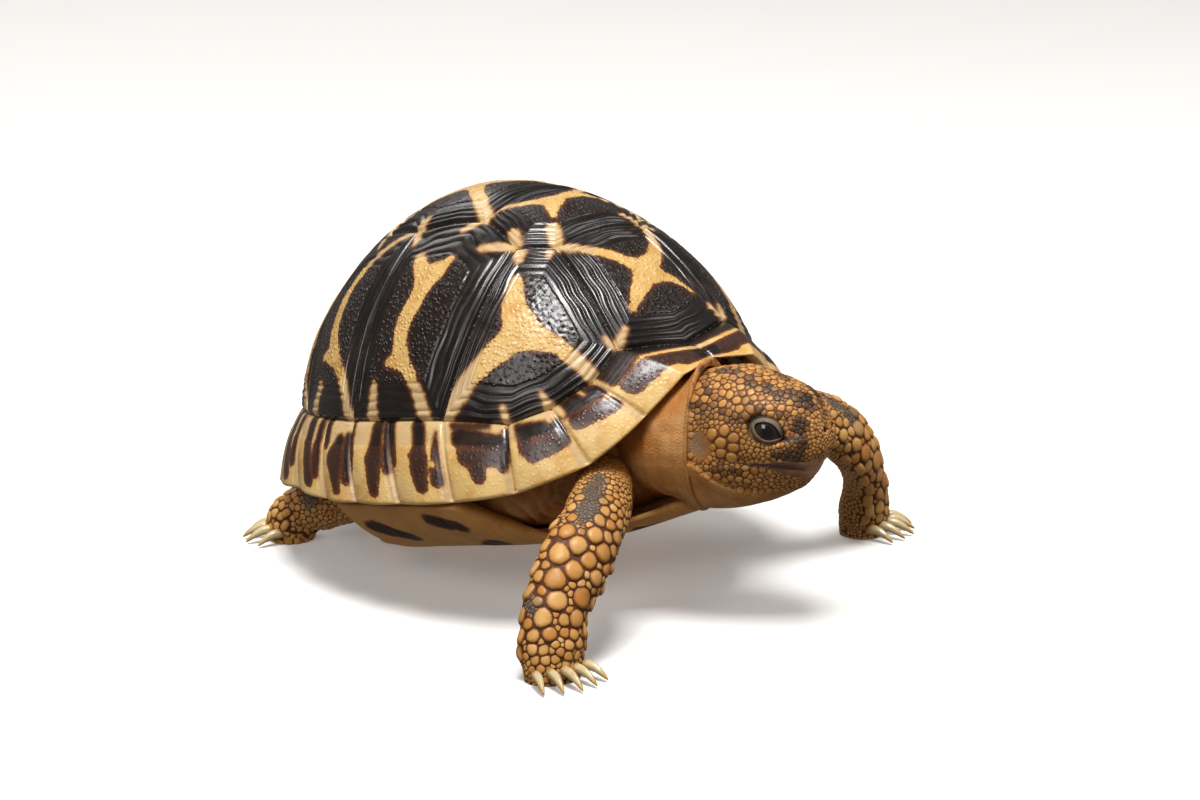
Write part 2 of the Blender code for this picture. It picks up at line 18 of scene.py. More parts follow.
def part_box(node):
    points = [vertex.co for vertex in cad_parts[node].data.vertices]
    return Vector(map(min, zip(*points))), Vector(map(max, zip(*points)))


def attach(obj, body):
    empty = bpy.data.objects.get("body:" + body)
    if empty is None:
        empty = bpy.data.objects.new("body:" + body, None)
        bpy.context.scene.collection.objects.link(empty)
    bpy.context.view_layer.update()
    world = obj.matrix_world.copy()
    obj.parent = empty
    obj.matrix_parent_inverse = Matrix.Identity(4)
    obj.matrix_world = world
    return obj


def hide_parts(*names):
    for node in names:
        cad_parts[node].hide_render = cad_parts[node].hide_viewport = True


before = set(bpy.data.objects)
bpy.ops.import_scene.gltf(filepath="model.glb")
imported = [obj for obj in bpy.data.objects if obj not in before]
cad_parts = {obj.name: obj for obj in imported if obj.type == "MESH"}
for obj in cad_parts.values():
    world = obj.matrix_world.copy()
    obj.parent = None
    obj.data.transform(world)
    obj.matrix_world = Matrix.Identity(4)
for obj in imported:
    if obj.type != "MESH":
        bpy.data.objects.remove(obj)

Array = np.ndarray
Object = bpy.types.Object
Material = bpy.types.Material
Socket = bpy.types.NodeSocket

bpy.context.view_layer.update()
MM = 0.001
TAU = 2.0 * math.pi
UP = np.array((0.0, 0.0, 1.0))
MIRROR = np.array((-1.0, 1.0, 1.0))
LOG = logging.getLogger("tortoise")

# Far from any mark, and farther than any surface that a ray looks for
FAR_MM = 9.0

# Shell, as in the solids
SHELL_HALF_LENGTH = 35.0
SHELL_HALF_WIDTH = 28.6
DOME_HEIGHT = 37.0
PLAN_POWER = 2.16
PROFILE_POWER = 1.92
PITCH = math.radians(13.0)
SHELL_LIFT = 14.96
HORN_INNER = 0.949
RIM_THICKNESS = 1.5
PLASTRON_Z = -10.0
PLASTRON_THICKNESS = 2.0

# Skin: the flesh's share of the dome, the pitch of its folds beside the legs, how far the legs'
# skin lies under their solids to make room for scales, and its lowest height over the floor
FLESH_SHARE = 0.879
FOLD_PITCH = 2.1
SKIN_DEPTH = 0.34
LOWEST_SKIN = 0.05

# Head, as in the solids
HEAD_BACK = np.array((-3.4, -31.3, 0.0))
HEAD_YAW = math.radians(20.0)
HEAD_JOIN = 3.2
EYE_STATION = 13.0
EYE_HEIGHT = 27.5
EYE_OFFSET = 4.0
EYE_RADIUS = 2.4

# Seam corners on the right side, in the shell frame
NAPE = (0.0, -32.3, 13.2)
V1_V2 = (-8.0, -19.7, 28.4)
V2_V3 = (-9.6, -9.3, 33.2)
V3_V4 = (-9.8, 10.5, 32.8)
V4_V5 = (-7.6, 23.0, 25.5)
C1_C2 = (-11.3, -16.0, 29.2)
C2_C3 = (-12.2, 1.3, 33.1)
C3_C4 = (-11.6, 18.3, 27.6)
RIM_TOP = (
    NAPE, (-9.9, -29.9, 14.6), (-14.4, -28.9, 11.4), (-19.2, -25.6, 9.1),
    (-22.9, -20.9, 8.0), (-26.1, -12.1, 9.6), (-27.3, -3.0, 10.2), (-27.0, 4.6, 10.4),
    (-26.0, 11.0, 10.8), (-23.2, 18.6, 11.2), (-18.6, 25.2, 11.4), (-13.0, 29.6, 11.6),
    (-6.6, 32.6, 10.4),
)
RIM_EDGE = (
    (0.0, -36.3, 11.4), (-6.4, -36.4, 10.4), (-12.0, -34.6, 6.3), (-18.9, -30.2, 1.8),
    (-25.0, -22.4, -0.3), (-28.6, -14.3, -0.4), (-30.1, -5.6, 0.0), (-30.4, 2.7, 0.5),
    (-29.8, 9.4, 1.0), (-27.6, 17.4, 2.3), (-23.6, 25.8, 2.4), (-16.8, 32.2, 1.6),
    (-8.2, 36.2, 0.2),
)
TAIL_TOP = (0.0, 33.8, 10.0)
TAIL_EDGE = (0.0, 37.4, -1.2)


# ---- geometry

def unit(rows: Array) -> Array:
    """Each row, with its vector in the last axis, at length one."""
    return rows / np.maximum(np.linalg.norm(rows, axis=-1, keepdims=True), 1e-9)


def smooth_step(low: float, high: float, x: Array) -> Array:
    """An S-shaped ramp from 0 at low to 1 at high, which may be less than low."""
    t = np.clip((np.asarray(x, float) - low) / (high - low), 0.0, 1.0)
    return t * t * (3.0 - 2.0 * t)


def bell(x: Array, middle: float, width: float) -> Array:
    """A bell curve, 1 at its middle and 0.37 at this width from it."""
    return np.exp(-((np.asarray(x, float) - middle) / width) ** 2)


def through(values: Array, t: Array) -> Array:
    """A smooth curve (Catmull-Rom) through a row of numbers or points.

    Args:
        values: The row, one entry per knot.
        t: Places along it, from 0 to 1.

    Returns:
        One entry per place.
    """
    values = np.asarray(values, float)
    flat = values.ndim == 1
    if flat:
        values = values[:, None]
    span = np.clip(np.asarray(t, float), 0, 1) * (len(values) - 1)
    i = np.minimum(span.astype(int), len(values) - 2)
    u = (span - i)[:, None]
    padded = np.vstack([2 * values[0] - values[1], values, 2 * values[-1] - values[-2]])
    a, b, c, d = padded[i], padded[i + 1], padded[i + 2], padded[i + 3]
    slope_b, slope_c = (c - a) * 0.5, (d - b) * 0.5
    made = (b * (2 * u**3 - 3 * u**2 + 1) + slope_b * (u**3 - 2 * u**2 + u)
            + c * (3 * u**2 - 2 * u**3) + slope_c * (u**3 - u**2))
    return made[:, 0] if flat else made


def standing(points: Array) -> Array:
    """Points of the shell frame, pitched nose up and lifted over the floor.

    Args:
        points: Rows of x, y, z.

    Returns:
        The rows in the animal's frame.
    """
    points = np.asarray(points, float)
    x, y, z = points[..., 0], points[..., 1], points[..., 2]
    cosine, sine = math.cos(PITCH), math.sin(PITCH)
    return np.stack([x, y * cosine + z * sine, z * cosine - y * sine + SHELL_LIFT], axis=-1)


def dome_share(points: Array) -> Array:
    """How far out points lie, where 1 is the dome's own surface.

    Args:
        points: Rows in the shell frame.

    Returns:
        One share for each row.
    """
    x, y, z = (np.abs(points[..., k]) for k in range(3))
    plan = ((x / SHELL_HALF_WIDTH) ** PLAN_POWER
            + (y / SHELL_HALF_LENGTH) ** PLAN_POWER) ** (PROFILE_POWER / PLAN_POWER)
    return (plan + (z / DOME_HEIGHT) ** PROFILE_POWER) ** (1.0 / PROFILE_POWER)


def on_dome(points: Array, share: float | Array = 1.0) -> Array:
    """Points of the shell frame moved along their rays to a share of the dome."""
    points = np.asarray(points, float)
    return points * (np.asarray(share) / dome_share(points))[..., None]


def dome_outward(points: Array) -> Array:
    """The dome's outward direction at points of the shell frame."""
    scale = np.array((SHELL_HALF_WIDTH, SHELL_HALF_LENGTH, DOME_HEIGHT))
    return unit(np.asarray(points, float) / scale**2)


def flip(points: tuple) -> tuple:
    """The mirror image of a point on the other side of the animal."""
    x, y, z = points
    return (-x, y, z)


def head_axes() -> tuple[Array, Array]:
    """The head's forward and left directions."""
    sine, cosine = math.sin(HEAD_YAW), math.cos(HEAD_YAW)
    return np.array((sine, -cosine, 0.0)), np.array((cosine, sine, 0.0))


def head_at(forward_mm: Array, left_mm: Array, height: Array) -> Array:
    """Points at distances from the skull's back and its middle plane, at heights over the floor."""
    forward, left = head_axes()
    return (HEAD_BACK + np.multiply.outer(forward_mm, forward)
            + np.multiply.outer(left_mm, left) + np.multiply.outer(height, UP))


def head_places(points: Array) -> tuple[Array, Array, Array]:
    """Places in the head's own frame.

    Args:
        points: Rows in the animal's frame.

    Returns:
        Distances forward and to the left, and heights.
    """
    forward, left = head_axes()
    away = points - HEAD_BACK
    return away @ forward, away @ left, points[..., 2]


def polyline_gap(points: Array, line: Array, radii: Array) -> Array:
    """Distance from points to a tapering stroke, negative inside it.

    Args:
        points: Rows of coordinates, two or three of them.
        line: The stroke's middle line, one row per knot.
        radii: The stroke's half width at each knot.

    Returns:
        One signed distance per point.
    """
    best = np.full(len(points), 1e9)
    for k in range(len(line) - 1):
        start, run = line[k], line[k + 1] - line[k]
        share = np.clip((points - start) @ run / max(run @ run, 1e-9), 0, 1)
        gap = np.linalg.norm(points - (start + share[:, None] * run), axis=1)
        best = np.minimum(best, gap - (radii[k] + (radii[k + 1] - radii[k]) * share))
    return best


def soft_min(a: Array, b: Array, blend: float) -> Array:
    """The lesser of two distances, with the crease between them rounded over blend."""
    h = np.clip(0.5 + 0.5 * (b - a) / blend, 0, 1)
    return b + (a - b) * h - blend * h * (1 - h)


def seeded_waves(points: Array, seed: int, length: float, count: int = 10) -> Array:
    """A smooth random field made of crossed waves.

    Args:
        points: Rows of x, y, z.
        seed: Which field.
        length: Wave length in millimetres.
        count: How many waves.

    Returns:
        Values of about -1 to 1.
    """
    draw = np.random.default_rng(seed)
    ways = unit(draw.normal(size=(count, 3))) * (TAU / length)
    stretch = draw.uniform(0.6, 1.5, count)
    phases = draw.uniform(0, TAU, count)
    return np.sin((points @ ways.T) * stretch + phases).sum(1) / math.sqrt(count) * 0.8


# Where the animal's own frame stands in the shared one, read at the right eye
ORIGIN = (np.array(sum(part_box("eye_right"), Vector())) * (0.5 / MM)
          - head_at(EYE_STATION, -EYE_OFFSET, EYE_HEIGHT))


# ---- meshes

def keep_field(mesh: bpy.types.Mesh, name: str, values: Array) -> None:
    """Keeps one number at each point of a mesh, for its material to read by name."""
    kept = mesh.attributes.new(name, "FLOAT", "POINT")
    kept.data.foreach_set("value", np.asarray(values, np.float32))


def make_piece(name: str, points: Array, faces: list[Array], fields: dict | None = None,
               patches: Array | None = None) -> Object:
    """A smooth-shaded mesh object from arrays.

    Args:
        name: The object's name.
        points: Rows in the animal's frame, in millimetres.
        faces: Arrays of point numbers, three or four to a row.
        fields: Numbers to keep at each point, by name.
        patches: For each point, its place on the OFBake map.

    Returns:
        The new object, at the origin.
    """
    mesh = bpy.data.meshes.new(name)
    rows = [np.asarray(f, np.int32) for f in faces if len(f)]
    loops = np.concatenate([f.ravel() for f in rows])
    counts = np.concatenate([np.full(len(f), f.shape[1], np.int32) for f in rows])
    mesh.vertices.add(len(points))
    mesh.vertices.foreach_set("co", ((points + ORIGIN) * MM).astype(np.float32).ravel())
    mesh.loops.add(len(loops))
    mesh.loops.foreach_set("vertex_index", loops)
    mesh.polygons.add(len(counts))
    mesh.polygons.foreach_set("loop_start", np.concatenate([[0], np.cumsum(counts)[:-1]]).astype(np.int32))
    for key, values in (fields or {}).items():
        keep_field(mesh, key, values)
    if patches is not None:
        layer = mesh.uv_layers.new(name="OFBake")
        layer.data.foreach_set("uv", patches[loops].astype(np.float32).ravel())
    mesh.update(calc_edges=True)
    mesh.validate()
    mesh.shade_smooth()
    piece = bpy.data.objects.new(name, mesh)
    bpy.context.scene.collection.objects.link(piece)
    return piece


def dress(piece: Object, finish: Material,
          replaced: tuple[str, ...] = ()) -> Object:
    """Gives a piece its material, its body and the solids it stands for.

    Args:
        piece: The object.
        finish: Its material.
        replaced: Names of the solids that it hides.

    Returns:
        The same object.
    """
    piece.data.materials.clear()
    piece.data.materials.append(finish)
    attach(piece, "root")
    if replaced:
        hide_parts(*replaced)
    LOG.info("%s: %d faces", piece.name, len(piece.data.polygons))
    return piece


def ring_faces(rings: int, around: int) -> Array:
    """Quads between rings of equal count, facing out where rings run anticlockwise and upward.

    Args:
        rings: How many rings.
        around: Points in each.

    Returns:
        Rows of four point numbers.
    """
    j = np.arange(around)
    k = (j + 1) % around
    i = np.arange(rings - 1)[:, None] * around
    quads = np.stack([i + j, i + k, i + around + k, i + around + j], axis=-1)
    return quads.reshape(-1, 4)


def fan_faces(ring_start: int, around: int, hub: int, outward: bool) -> Array:
    """Triangles from a ring to one hub point.

    Args:
        ring_start: Number of the ring's first point.
        around: Points in the ring.
        hub: Number of the hub point.
        outward: Whether the fan closes the last ring and not the first.

    Returns:
        Rows of three point numbers.
    """
    j = np.arange(around)
    k = (j + 1) % around
    low, high = (ring_start + j, ring_start + k) if outward else (ring_start + k, ring_start + j)
    return np.stack([low, high, np.full(around, hub)], axis=-1)


def tube_faces(rings: int, around: int) -> list[Array]:
    """Faces of a tube of rings, closed by a fan to one more point at either end."""
    hub = rings * around
    return [ring_faces(rings, around), fan_faces(0, around, hub, False),
            fan_faces(hub - around, around, hub + 1, True)]


def oval_rings(line: Array, across: Array, upward: Array, wide: Array,
               high: Array, columns: int) -> Array:
    """Oval rings round a middle line.

    Args:
        line: The middle line, one row per ring.
        across: The way of each ring's half width.
        upward: The way of its half height.
        wide: The half widths.
        high: The half heights.
        columns: Points round each ring.

    Returns:
        Grid of points, along by around by three.
    """
    turn = np.linspace(0, TAU, columns, endpoint=False)
    return (line[:, None] + across[:, None] * (wide[:, None] * np.cos(turn))[..., None]
            + upward[:, None] * (high[:, None] * np.sin(turn))[..., None])


def select_only(piece: Object) -> None:
    """Selects one object and makes it active.

    Args:
        piece: The object.
    """
    bpy.ops.object.select_all(action="DESELECT")
    piece.select_set(True)
    bpy.context.view_layer.objects.active = piece


class Sleeve:
    """A tube of skin over a grid: along it from 0 to 1, and round it from 0 to 1."""

    def __init__(self, points: Array) -> None:
        """Keeps the grid and works out its outward directions.

        Args:
            points: Grid of points, along by around by three.
        """
        self.points = points
        self.middle = points.mean(axis=1)
        along = np.gradient(points, axis=0)
        around = np.roll(points, -1, axis=1) - np.roll(points, 1, axis=1)
        self.outward = unit(np.cross(around, along))
        away = points - self.middle[:, None]
        if (self.outward * away).sum() < 0:
            self.outward = -self.outward

    def moved(self, depth: Array) -> "Sleeve":
        """The sleeve with each point moved outward by its depth."""
        return Sleeve(self.points + self.outward * depth[..., None])

    def at(self, along: Array, around: Array) -> tuple[Array, Array]:
        """Points and outward directions at any places on the sleeve.

        Args:
            along: Places from 0 to 1.
            around: Places from 0 to 1, which wrap.

        Returns:
            Two arrays of rows.
        """
        rows, columns = self.points.shape[:2]
        u = np.clip(along, 0, 1) * (rows - 1)
        i = np.minimum(u.astype(int), rows - 2)
        u = (u - i)[..., None]
        v = np.mod(around, 1.0) * columns
        j = v.astype(int) % columns
        k = (j + 1) % columns
        v = (v - np.floor(v))[..., None]

        def mixed(grid: Array) -> Array:
            """The grid read between its four nearest points."""
            low = grid[i, j] * (1 - v) + grid[i, k] * v
            high = grid[i + 1, j] * (1 - v) + grid[i + 1, k] * v
            return low * (1 - u) + high * u

        return mixed(self.points), unit(mixed(self.outward))

    def closed(self) -> Array:
        """Every point of the grid, and then the middles of both ends."""
        return np.vstack([self.points.reshape(-1, 3), self.middle[:1], self.middle[-1:]])

    def solid(self, name: str) -> Object:
        """The sleeve as a closed mesh, its ends capped.

        Args:
            name: The object's name.

        Returns:
            The object.
        """
        piece = make_piece(name, self.closed(), tube_faces(*self.points.shape[:2]))
        select_only(piece)
        bpy.ops.object.mode_set(mode="EDIT")
        bpy.ops.mesh.select_all(action="SELECT")
        bpy.ops.mesh.normals_make_consistent(inside=False)
        bpy.ops.object.mode_set(mode="OBJECT")
        return piece


# ---- materials

def linear(code: str) -> tuple[float, float, float, float]:
    """An sRGB hex colour as linear RGBA.

    Args:
        code: Six hex digits after a hash sign.

    Returns:
        The linear colour, opaque.
    """
    parts = [int(code[k:k + 2], 16) / 255.0 for k in (1, 3, 5)]
    made = [p / 12.92 if p <= 0.04045 else ((p + 0.055) / 1.055) ** 2.4 for p in parts]
    return (*made, 1.0)


def add_node(tree: bpy.types.NodeTree, kind: str, settings: dict | None = None,
             inputs: dict | None = None) -> bpy.types.Node:
    """Adds a node with its settings and its inputs, which are values or other nodes' outputs.

    Args:
        tree: The node tree.
        kind: The node's type name.
        settings: Properties of the node.
        inputs: Values or sockets by input name or number.

    Returns:
        The new node.
    """
    node = tree.nodes.new(kind)
    for key, value in (settings or {}).items():
        setattr(node, key, value)
    for key, value in (inputs or {}).items():
        if isinstance(value, Socket):
            tree.links.new(value, node.inputs[key])
        else:
            node.inputs[key].default_value = value
    return node


# How far red, green and blue light spread under horn and skin, and over what length in metres
FLESH_RADII = (1.0, 0.45, 0.2)
FLESH_DEPTH = 0.0009


class Recipe:
    """A material being written, with the few sums and mixes that the finishes share."""

    def __init__(self, name: str, roughness: float, ior: float = 1.54, coat: float = 0.0,
                 coat_roughness: float = 0.1, subsurface: float = 0.0) -> None:
        """Starts a material with its constant settings.

        Args:
            name: The material's name.
            roughness: Roughness where nothing else drives it.
            ior: Index of refraction.
            coat: Weight of the clear outer layer.
            coat_roughness: Roughness of that layer.
            subsurface: Share of light that passes under the surface.
        """
        self.material = bpy.data.materials.new(name)
        self.material.use_nodes = True
        self.tree = self.material.node_tree
        self.shader = self.tree.nodes["Principled BSDF"]
        for socket, value in (("Roughness", roughness), ("IOR", ior), ("Coat Weight", coat),
                              ("Coat Roughness", coat_roughness), ("Subsurface Weight", subsurface),
                              ("Subsurface Radius", FLESH_RADII), ("Subsurface Scale", FLESH_DEPTH)):
            self.shader.inputs[socket].default_value = value
        self.place = self.add("ShaderNodeTexCoord").outputs["Object"]

    def add(self, kind: str, settings: dict | None = None, inputs: dict | None = None) -> bpy.types.Node:
        """Adds a node to this material."""
        return add_node(self.tree, kind, settings, inputs)

    def read(self, name: str) -> Socket:
        """The number kept at each point under a name."""
        return self.add("ShaderNodeAttribute", {"attribute_name": name}).outputs["Fac"]

    def grain(self, size_mm: float, detail: float = 2.0) -> Socket:
        """Soft noise from 0 to 1 whose blobs are this many millimetres across."""
        return self.add("ShaderNodeTexNoise", {}, {
            "Vector": self.place, "Scale": 0.5 / (size_mm * MM), "Detail": detail,
            "Roughness": 0.55}).outputs["Fac"]

    def cells(self, size_mm: float) -> Socket:
        """Distance to the middle of the nearest of many cells of this size."""
        return self.add("ShaderNodeTexVoronoi", {"feature": "SMOOTH_F1"}, {
            "Vector": self.place, "Scale": 1.0 / (size_mm * MM), "Smoothness": 0.35}).outputs["Distance"]

    def sum(self, operation: str, a: object, b: object = 0.0, c: object = 0.0) -> Socket:
        """One step of arithmetic."""
        return self.add("ShaderNodeMath", {"operation": operation}, {0: a, 1: b, 2: c}).outputs[0]

    def ramp(self, value: object, low: float, high: float, start: float = 0.0,
             end: float = 1.0) -> Socket:
        """A smooth step from start to end as value goes from low to high."""
        return self.add("ShaderNodeMapRange", {"interpolation_type": "SMOOTHSTEP"}, {
            "Value": value, "From Min": low, "From Max": high, "To Min": start,
            "To Max": end}).outputs["Result"]

    def mix(self, share: object, a: object, b: object) -> Socket:
        """A mix of two colours, each a hex code or a socket.

        Args:
            share: How much of the second.
            a: The first colour.
            b: The second colour.

        Returns:
            The mixed colour.
        """
        a = linear(a) if isinstance(a, str) else a
        b = linear(b) if isinstance(b, str) else b
        return self.add("ShaderNodeMix", {"data_type": "RGBA"}, {0: share, 6: a, 7: b}).outputs[2]

    def relief(self, height: object, depth_mm: float,
               under: Socket | None = None) -> Socket:
        """Surface relief of a real depth.

        Args:
            height: Heights from 0 to 1.
            depth_mm: What 1 stands for.
            under: Another relief to lay it over.

        Returns:
            The bent normals.
        """
        inputs = {"Height": height, "Distance": depth_mm * MM, "Strength": 1.0}
        if under is not None:
            inputs["Normal"] = under
        return self.add("ShaderNodeBump", {}, inputs).outputs["Normal"]

    def done(self, colour: object, roughness: object = None,
             normal: Socket | None = None) -> Material:
        """Links the last nodes to the shader.

        Args:
            colour: The base colour.
            roughness: A socket, where the roughness varies.
            normal: The relief.

        Returns:
            The material.
        """
        self.tree.links.new(colour, self.shader.inputs["Base Color"])
        if roughness is not None:
            self.tree.links.new(roughness, self.shader.inputs["Roughness"])
        if normal is not None:
            self.tree.links.new(normal, self.shader.inputs["Normal"])
        return self.material


@dataclass(frozen=True)
class PlateHorn:
    """Keratin of the shell, grown in ridged rings round a pebbled hatchling plate."""

    name: str = "keratin_plate_horn"
    black: str = "#0f0a08"
    brown_black: str = "#22140d"
    middle_dark: str = "#1f120c"
    edge_brown: str = "#6b3a1c"
    pale: str = "#e0b872"
    pale_warm: str = "#cf9c50"
    # Lighter colour painted on the pebble crowns: a painted highlight
    pebble_highlight: str = "#eed09a"
    grown_pale: str = "#cdb28c"
    pebble_mm: float = 0.56
    pebble_depth_mm: float = 0.26
    wobble_mm: float = 0.95
    gloss: float = 0.3

    def material(self) -> Material:
        """Black and straw-coloured horn: the fields pale_mm, grown and ring place the marks.

        Returns:
            The material.
        """
        make = Recipe(self.name, 0.34, 1.3 + 0.8 * self.gloss, coat=self.gloss, coat_roughness=0.14,
                      subsurface=0.02)
        gap = make.sum("MULTIPLY_ADD", make.sum("SUBTRACT", make.grain(1.0, 3.0), 0.5),
                       self.wobble_mm, make.read("pale_mm"))
        gap = make.sum("MULTIPLY_ADD", make.sum("SUBTRACT", make.grain(0.22, 2.0), 0.5), 0.4, gap)
        grown, ring = make.read("grown"), make.read("ring")
        in_mark = make.ramp(make.sum("DIVIDE", gap, make.sum("MULTIPLY_ADD", grown, 2.4, 1.0)), 0.10, -0.10)
        near_mark = make.ramp(gap, 0.75, -0.1)
        lines = make.sum("SINE", make.sum("MULTIPLY_ADD", make.grain(1.6, 3.0), 12.0,
                                          make.sum("MULTIPLY", ring, TAU * 1.3)))
        patchy = make.sum("MULTIPLY", grown, make.ramp(make.grain(2.6), 0.42, 0.62))
        lines = make.sum("MULTIPLY", lines, patchy)
        dark = make.mix(make.ramp(make.grain(3.0, 3.0), 0.42, 0.72), self.black, self.brown_black)
        dark = make.mix(make.ramp(grown, 0.6, 0.2), dark, self.middle_dark)
        dark = make.mix(make.ramp(lines, 0.4, 1.0, 0.0, 0.3), dark, self.brown_black)
        dark = make.mix(make.sum("MULTIPLY", near_mark, 0.7), dark, self.edge_brown)
        pale = make.mix(make.ramp(make.grain(1.6, 3.0), 0.38, 0.70), self.pale, self.pale_warm)
        pebble = make.cells(self.pebble_mm)
        # Pebble crowns are painted lighter: a painted highlight on each pebble
        pale = make.mix(make.ramp(pebble, 0.42, 0.1, 0.0, 0.6), pale, self.pebble_highlight)
        pale = make.mix(make.sum("MULTIPLY", grown, 0.7), pale, self.grown_pale)
        pale = make.mix(make.ramp(lines, 0.2, 1.0, 0.0, 0.14), pale, self.edge_brown)
        pale = make.mix(make.ramp(gap, -0.5, -0.05, 0.0, 0.45), pale, self.pale_warm)
        colour = make.mix(in_mark, dark, pale)
        pebbles = make.sum("MULTIPLY", make.ramp(pebble, 0.52, 0.08), make.sum("SUBTRACT", 1.0, grown))
        pebbles = make.sum("MULTIPLY", pebbles, make.ramp(gap, -0.5, 0.2, 0.45, 1.0))
        normal = make.relief(pebbles, self.pebble_depth_mm)
        normal = make.relief(lines, 0.007, normal)
        normal = make.relief(make.grain(0.12, 2.0), 0.014, normal)
        rough = make.ramp(make.grain(1.1, 3.0), 0.3, 0.75, 0.53 - self.gloss, 0.72 - self.gloss)
        rough = make.sum("MULTIPLY_ADD", make.sum("SUBTRACT", 1.0, grown), 0.05, rough)
        return make.done(colour, rough, normal)


@dataclass(frozen=True)
class RimHorn(PlateHorn):
    """The same keratin at the shell's edge, thinner, browner and more see-through."""

    name: str = "keratin_rim_horn"
    black: str = "#160d0a"
    brown_black: str = "#2f190d"
    middle_dark: str = "#3c2114"
    edge_brown: str = "#7d4318"
    pale: str = "#eac57e"
    pale_warm: str = "#d8a558"
    pebble_highlight: str = "#f0d094"
    grown_pale: str = "#d0b286"
    pebble_depth_mm: float = 0.06
    wobble_mm: float = 0.55


@dataclass(frozen=True)
class BellyHorn(PlateHorn):
    """The smooth pale keratin of the plastron, with dark brown blotches."""

    name: str = "keratin_belly_horn"
    black: str = "#2c130c"
    brown_black: str = "#3a1810"
    middle_dark: str = "#3a1810"
    pale: str = "#d59a50"
    pale_warm: str = "#ba7432"
    pebble_highlight: str = "#e0b06e"
    grown_pale: str = "#d8a35c"
    pebble_depth_mm: float = 0.02
    gloss: float = 0.04


@dataclass(frozen=True)
class Hide:
    """Living skin: soft and orange on the neck, dark between the scales, grey on the lids."""

    name: str = "tortoise_skin"
    soft: str = "#b27335"
    soft_pale: str = "#cc975a"
    soft_deep: str = "#74421c"
    between: str = "#582e13"
    dark: str = "#32231c"
    grey: str = "#6c685e"
    grain_mm: float = 0.32

    def material(self) -> Material:
        """Skin with fine leathery cells: the fields dark, net and grey place the marks.

        Returns:
            The material.
        """
        make = Recipe(self.name, 0.55, 1.42, subsurface=0.18)
        soft = make.mix(make.ramp(make.grain(2.6, 3.0), 0.35, 0.7), self.soft, self.soft_pale)
        soft = make.mix(make.ramp(make.grain(5.0, 2.0), 0.52, 0.75, 0.0, 0.6), soft, self.soft_deep)
        colour = make.mix(make.read("net"), soft, self.between)
        colour = make.mix(make.read("dark"), colour, self.dark)
        colour = make.mix(make.read("grey"), colour, self.grey)
        normal = make.relief(make.ramp(make.cells(self.grain_mm), 0.55, 0.1), 0.035)
        normal = make.relief(make.grain(0.9, 3.0), 0.06, normal)
        rough = make.ramp(make.grain(0.8, 2.0), 0.3, 0.7, 0.45, 0.62)
        return make.done(colour, rough, normal)


@dataclass(frozen=True)
class ScaleHorn:
    """Thin keratin scales, paler in the middle and brown at the edge."""

    name: str = "keratin_scales"
    middle: str = "#d8a45c"
    middle_deep: str = "#b9792f"
    edge: str = "#723b14"
    dark: str = "#3c2a20"
    grey: str = "#77736a"

    def material(self) -> Material:
        """Scales: the fields rim, tint, dark and grey place the marks.

        Returns:
            The material.
        """
        make = Recipe(self.name, 0.42, 1.46, subsurface=0.08)
        colour = make.mix(make.read("tint"), self.middle, self.middle_deep)
        colour = make.mix(make.ramp(make.grain(0.7, 3.0), 0.5, 0.8, 0.0, 0.5), colour, self.middle_deep)
        border = make.sum("MULTIPLY_ADD", make.sum("SUBTRACT", make.grain(0.35), 0.5), 0.2,
                          make.read("rim"))
        colour = make.mix(make.ramp(border, 0.72, 1.0, 0.0, 0.8), colour, self.edge)
        colour = make.mix(make.read("dark"), colour, self.dark)
        colour = make.mix(make.read("grey"), colour, self.grey)
        normal = make.relief(make.grain(0.16, 2.0), 0.03)
        rough = make.ramp(make.grain(0.6, 2.0), 0.3, 0.7, 0.34, 0.52)
        return make.done(colour, rough, normal)


@dataclass(frozen=True)
class HeadScaleHorn(ScaleHorn):
    """The head's small scales, more orange than the legs'."""

    name: str = "keratin_head_scales"
    middle: str = "#d0974f"
    middle_deep: str = "#a2662f"
    edge: str = "#572f14"
    dark: str = "#342018"


@dataclass(frozen=True)
class BeakHorn:
    """The beak's bare horn sheath, smooth and flesh-coloured, with faint growth streaks."""

    name: str = "keratin_beak_horn"
    flesh: str = "#b98a64"
    brown: str = "#8c5c40"
    dark: str = "#452a22"

    def material(self) -> Material:
        """Beak horn: the field dark places the brown cheeks.

        Returns:
            The material.
        """
        make = Recipe(self.name, 0.38, 1.54, subsurface=0.1)
        colour = make.mix(make.ramp(make.grain(1.4, 3.0), 0.38, 0.7), self.flesh, self.brown)
        colour = make.mix(make.read("dark"), colour, self.dark)
        normal = make.relief(make.grain(0.2, 3.0), 0.03)
        return make.done(colour, None, normal)


@dataclass(frozen=True)
class ClawHorn:
    """Translucent horn of the claws, whitish with a yellow tip."""

    name: str = "keratin_claw_horn"
    root: str = "#a97c46"
    middle: str = "#d3c094"
    tip: str = "#c69c4c"

    def material(self) -> Material:
        """Claw horn: the field along runs from root to tip.

        Returns:
            The material.
        """
        make = Recipe(self.name, 0.28, 1.54, coat=0.15, coat_roughness=0.15, subsurface=0.15)
        along = make.read("along")
        colour = make.mix(make.ramp(along, 0.0, 0.3), self.root, self.middle)
        colour = make.mix(make.ramp(along, 0.62, 1.0), colour, self.tip)
        colour = make.mix(make.ramp(make.grain(0.5, 3.0), 0.5, 0.8, 0.0, 0.35), colour, self.root)
        normal = make.relief(make.grain(0.15, 2.0), 0.02)
        return make.done(colour, None, normal)


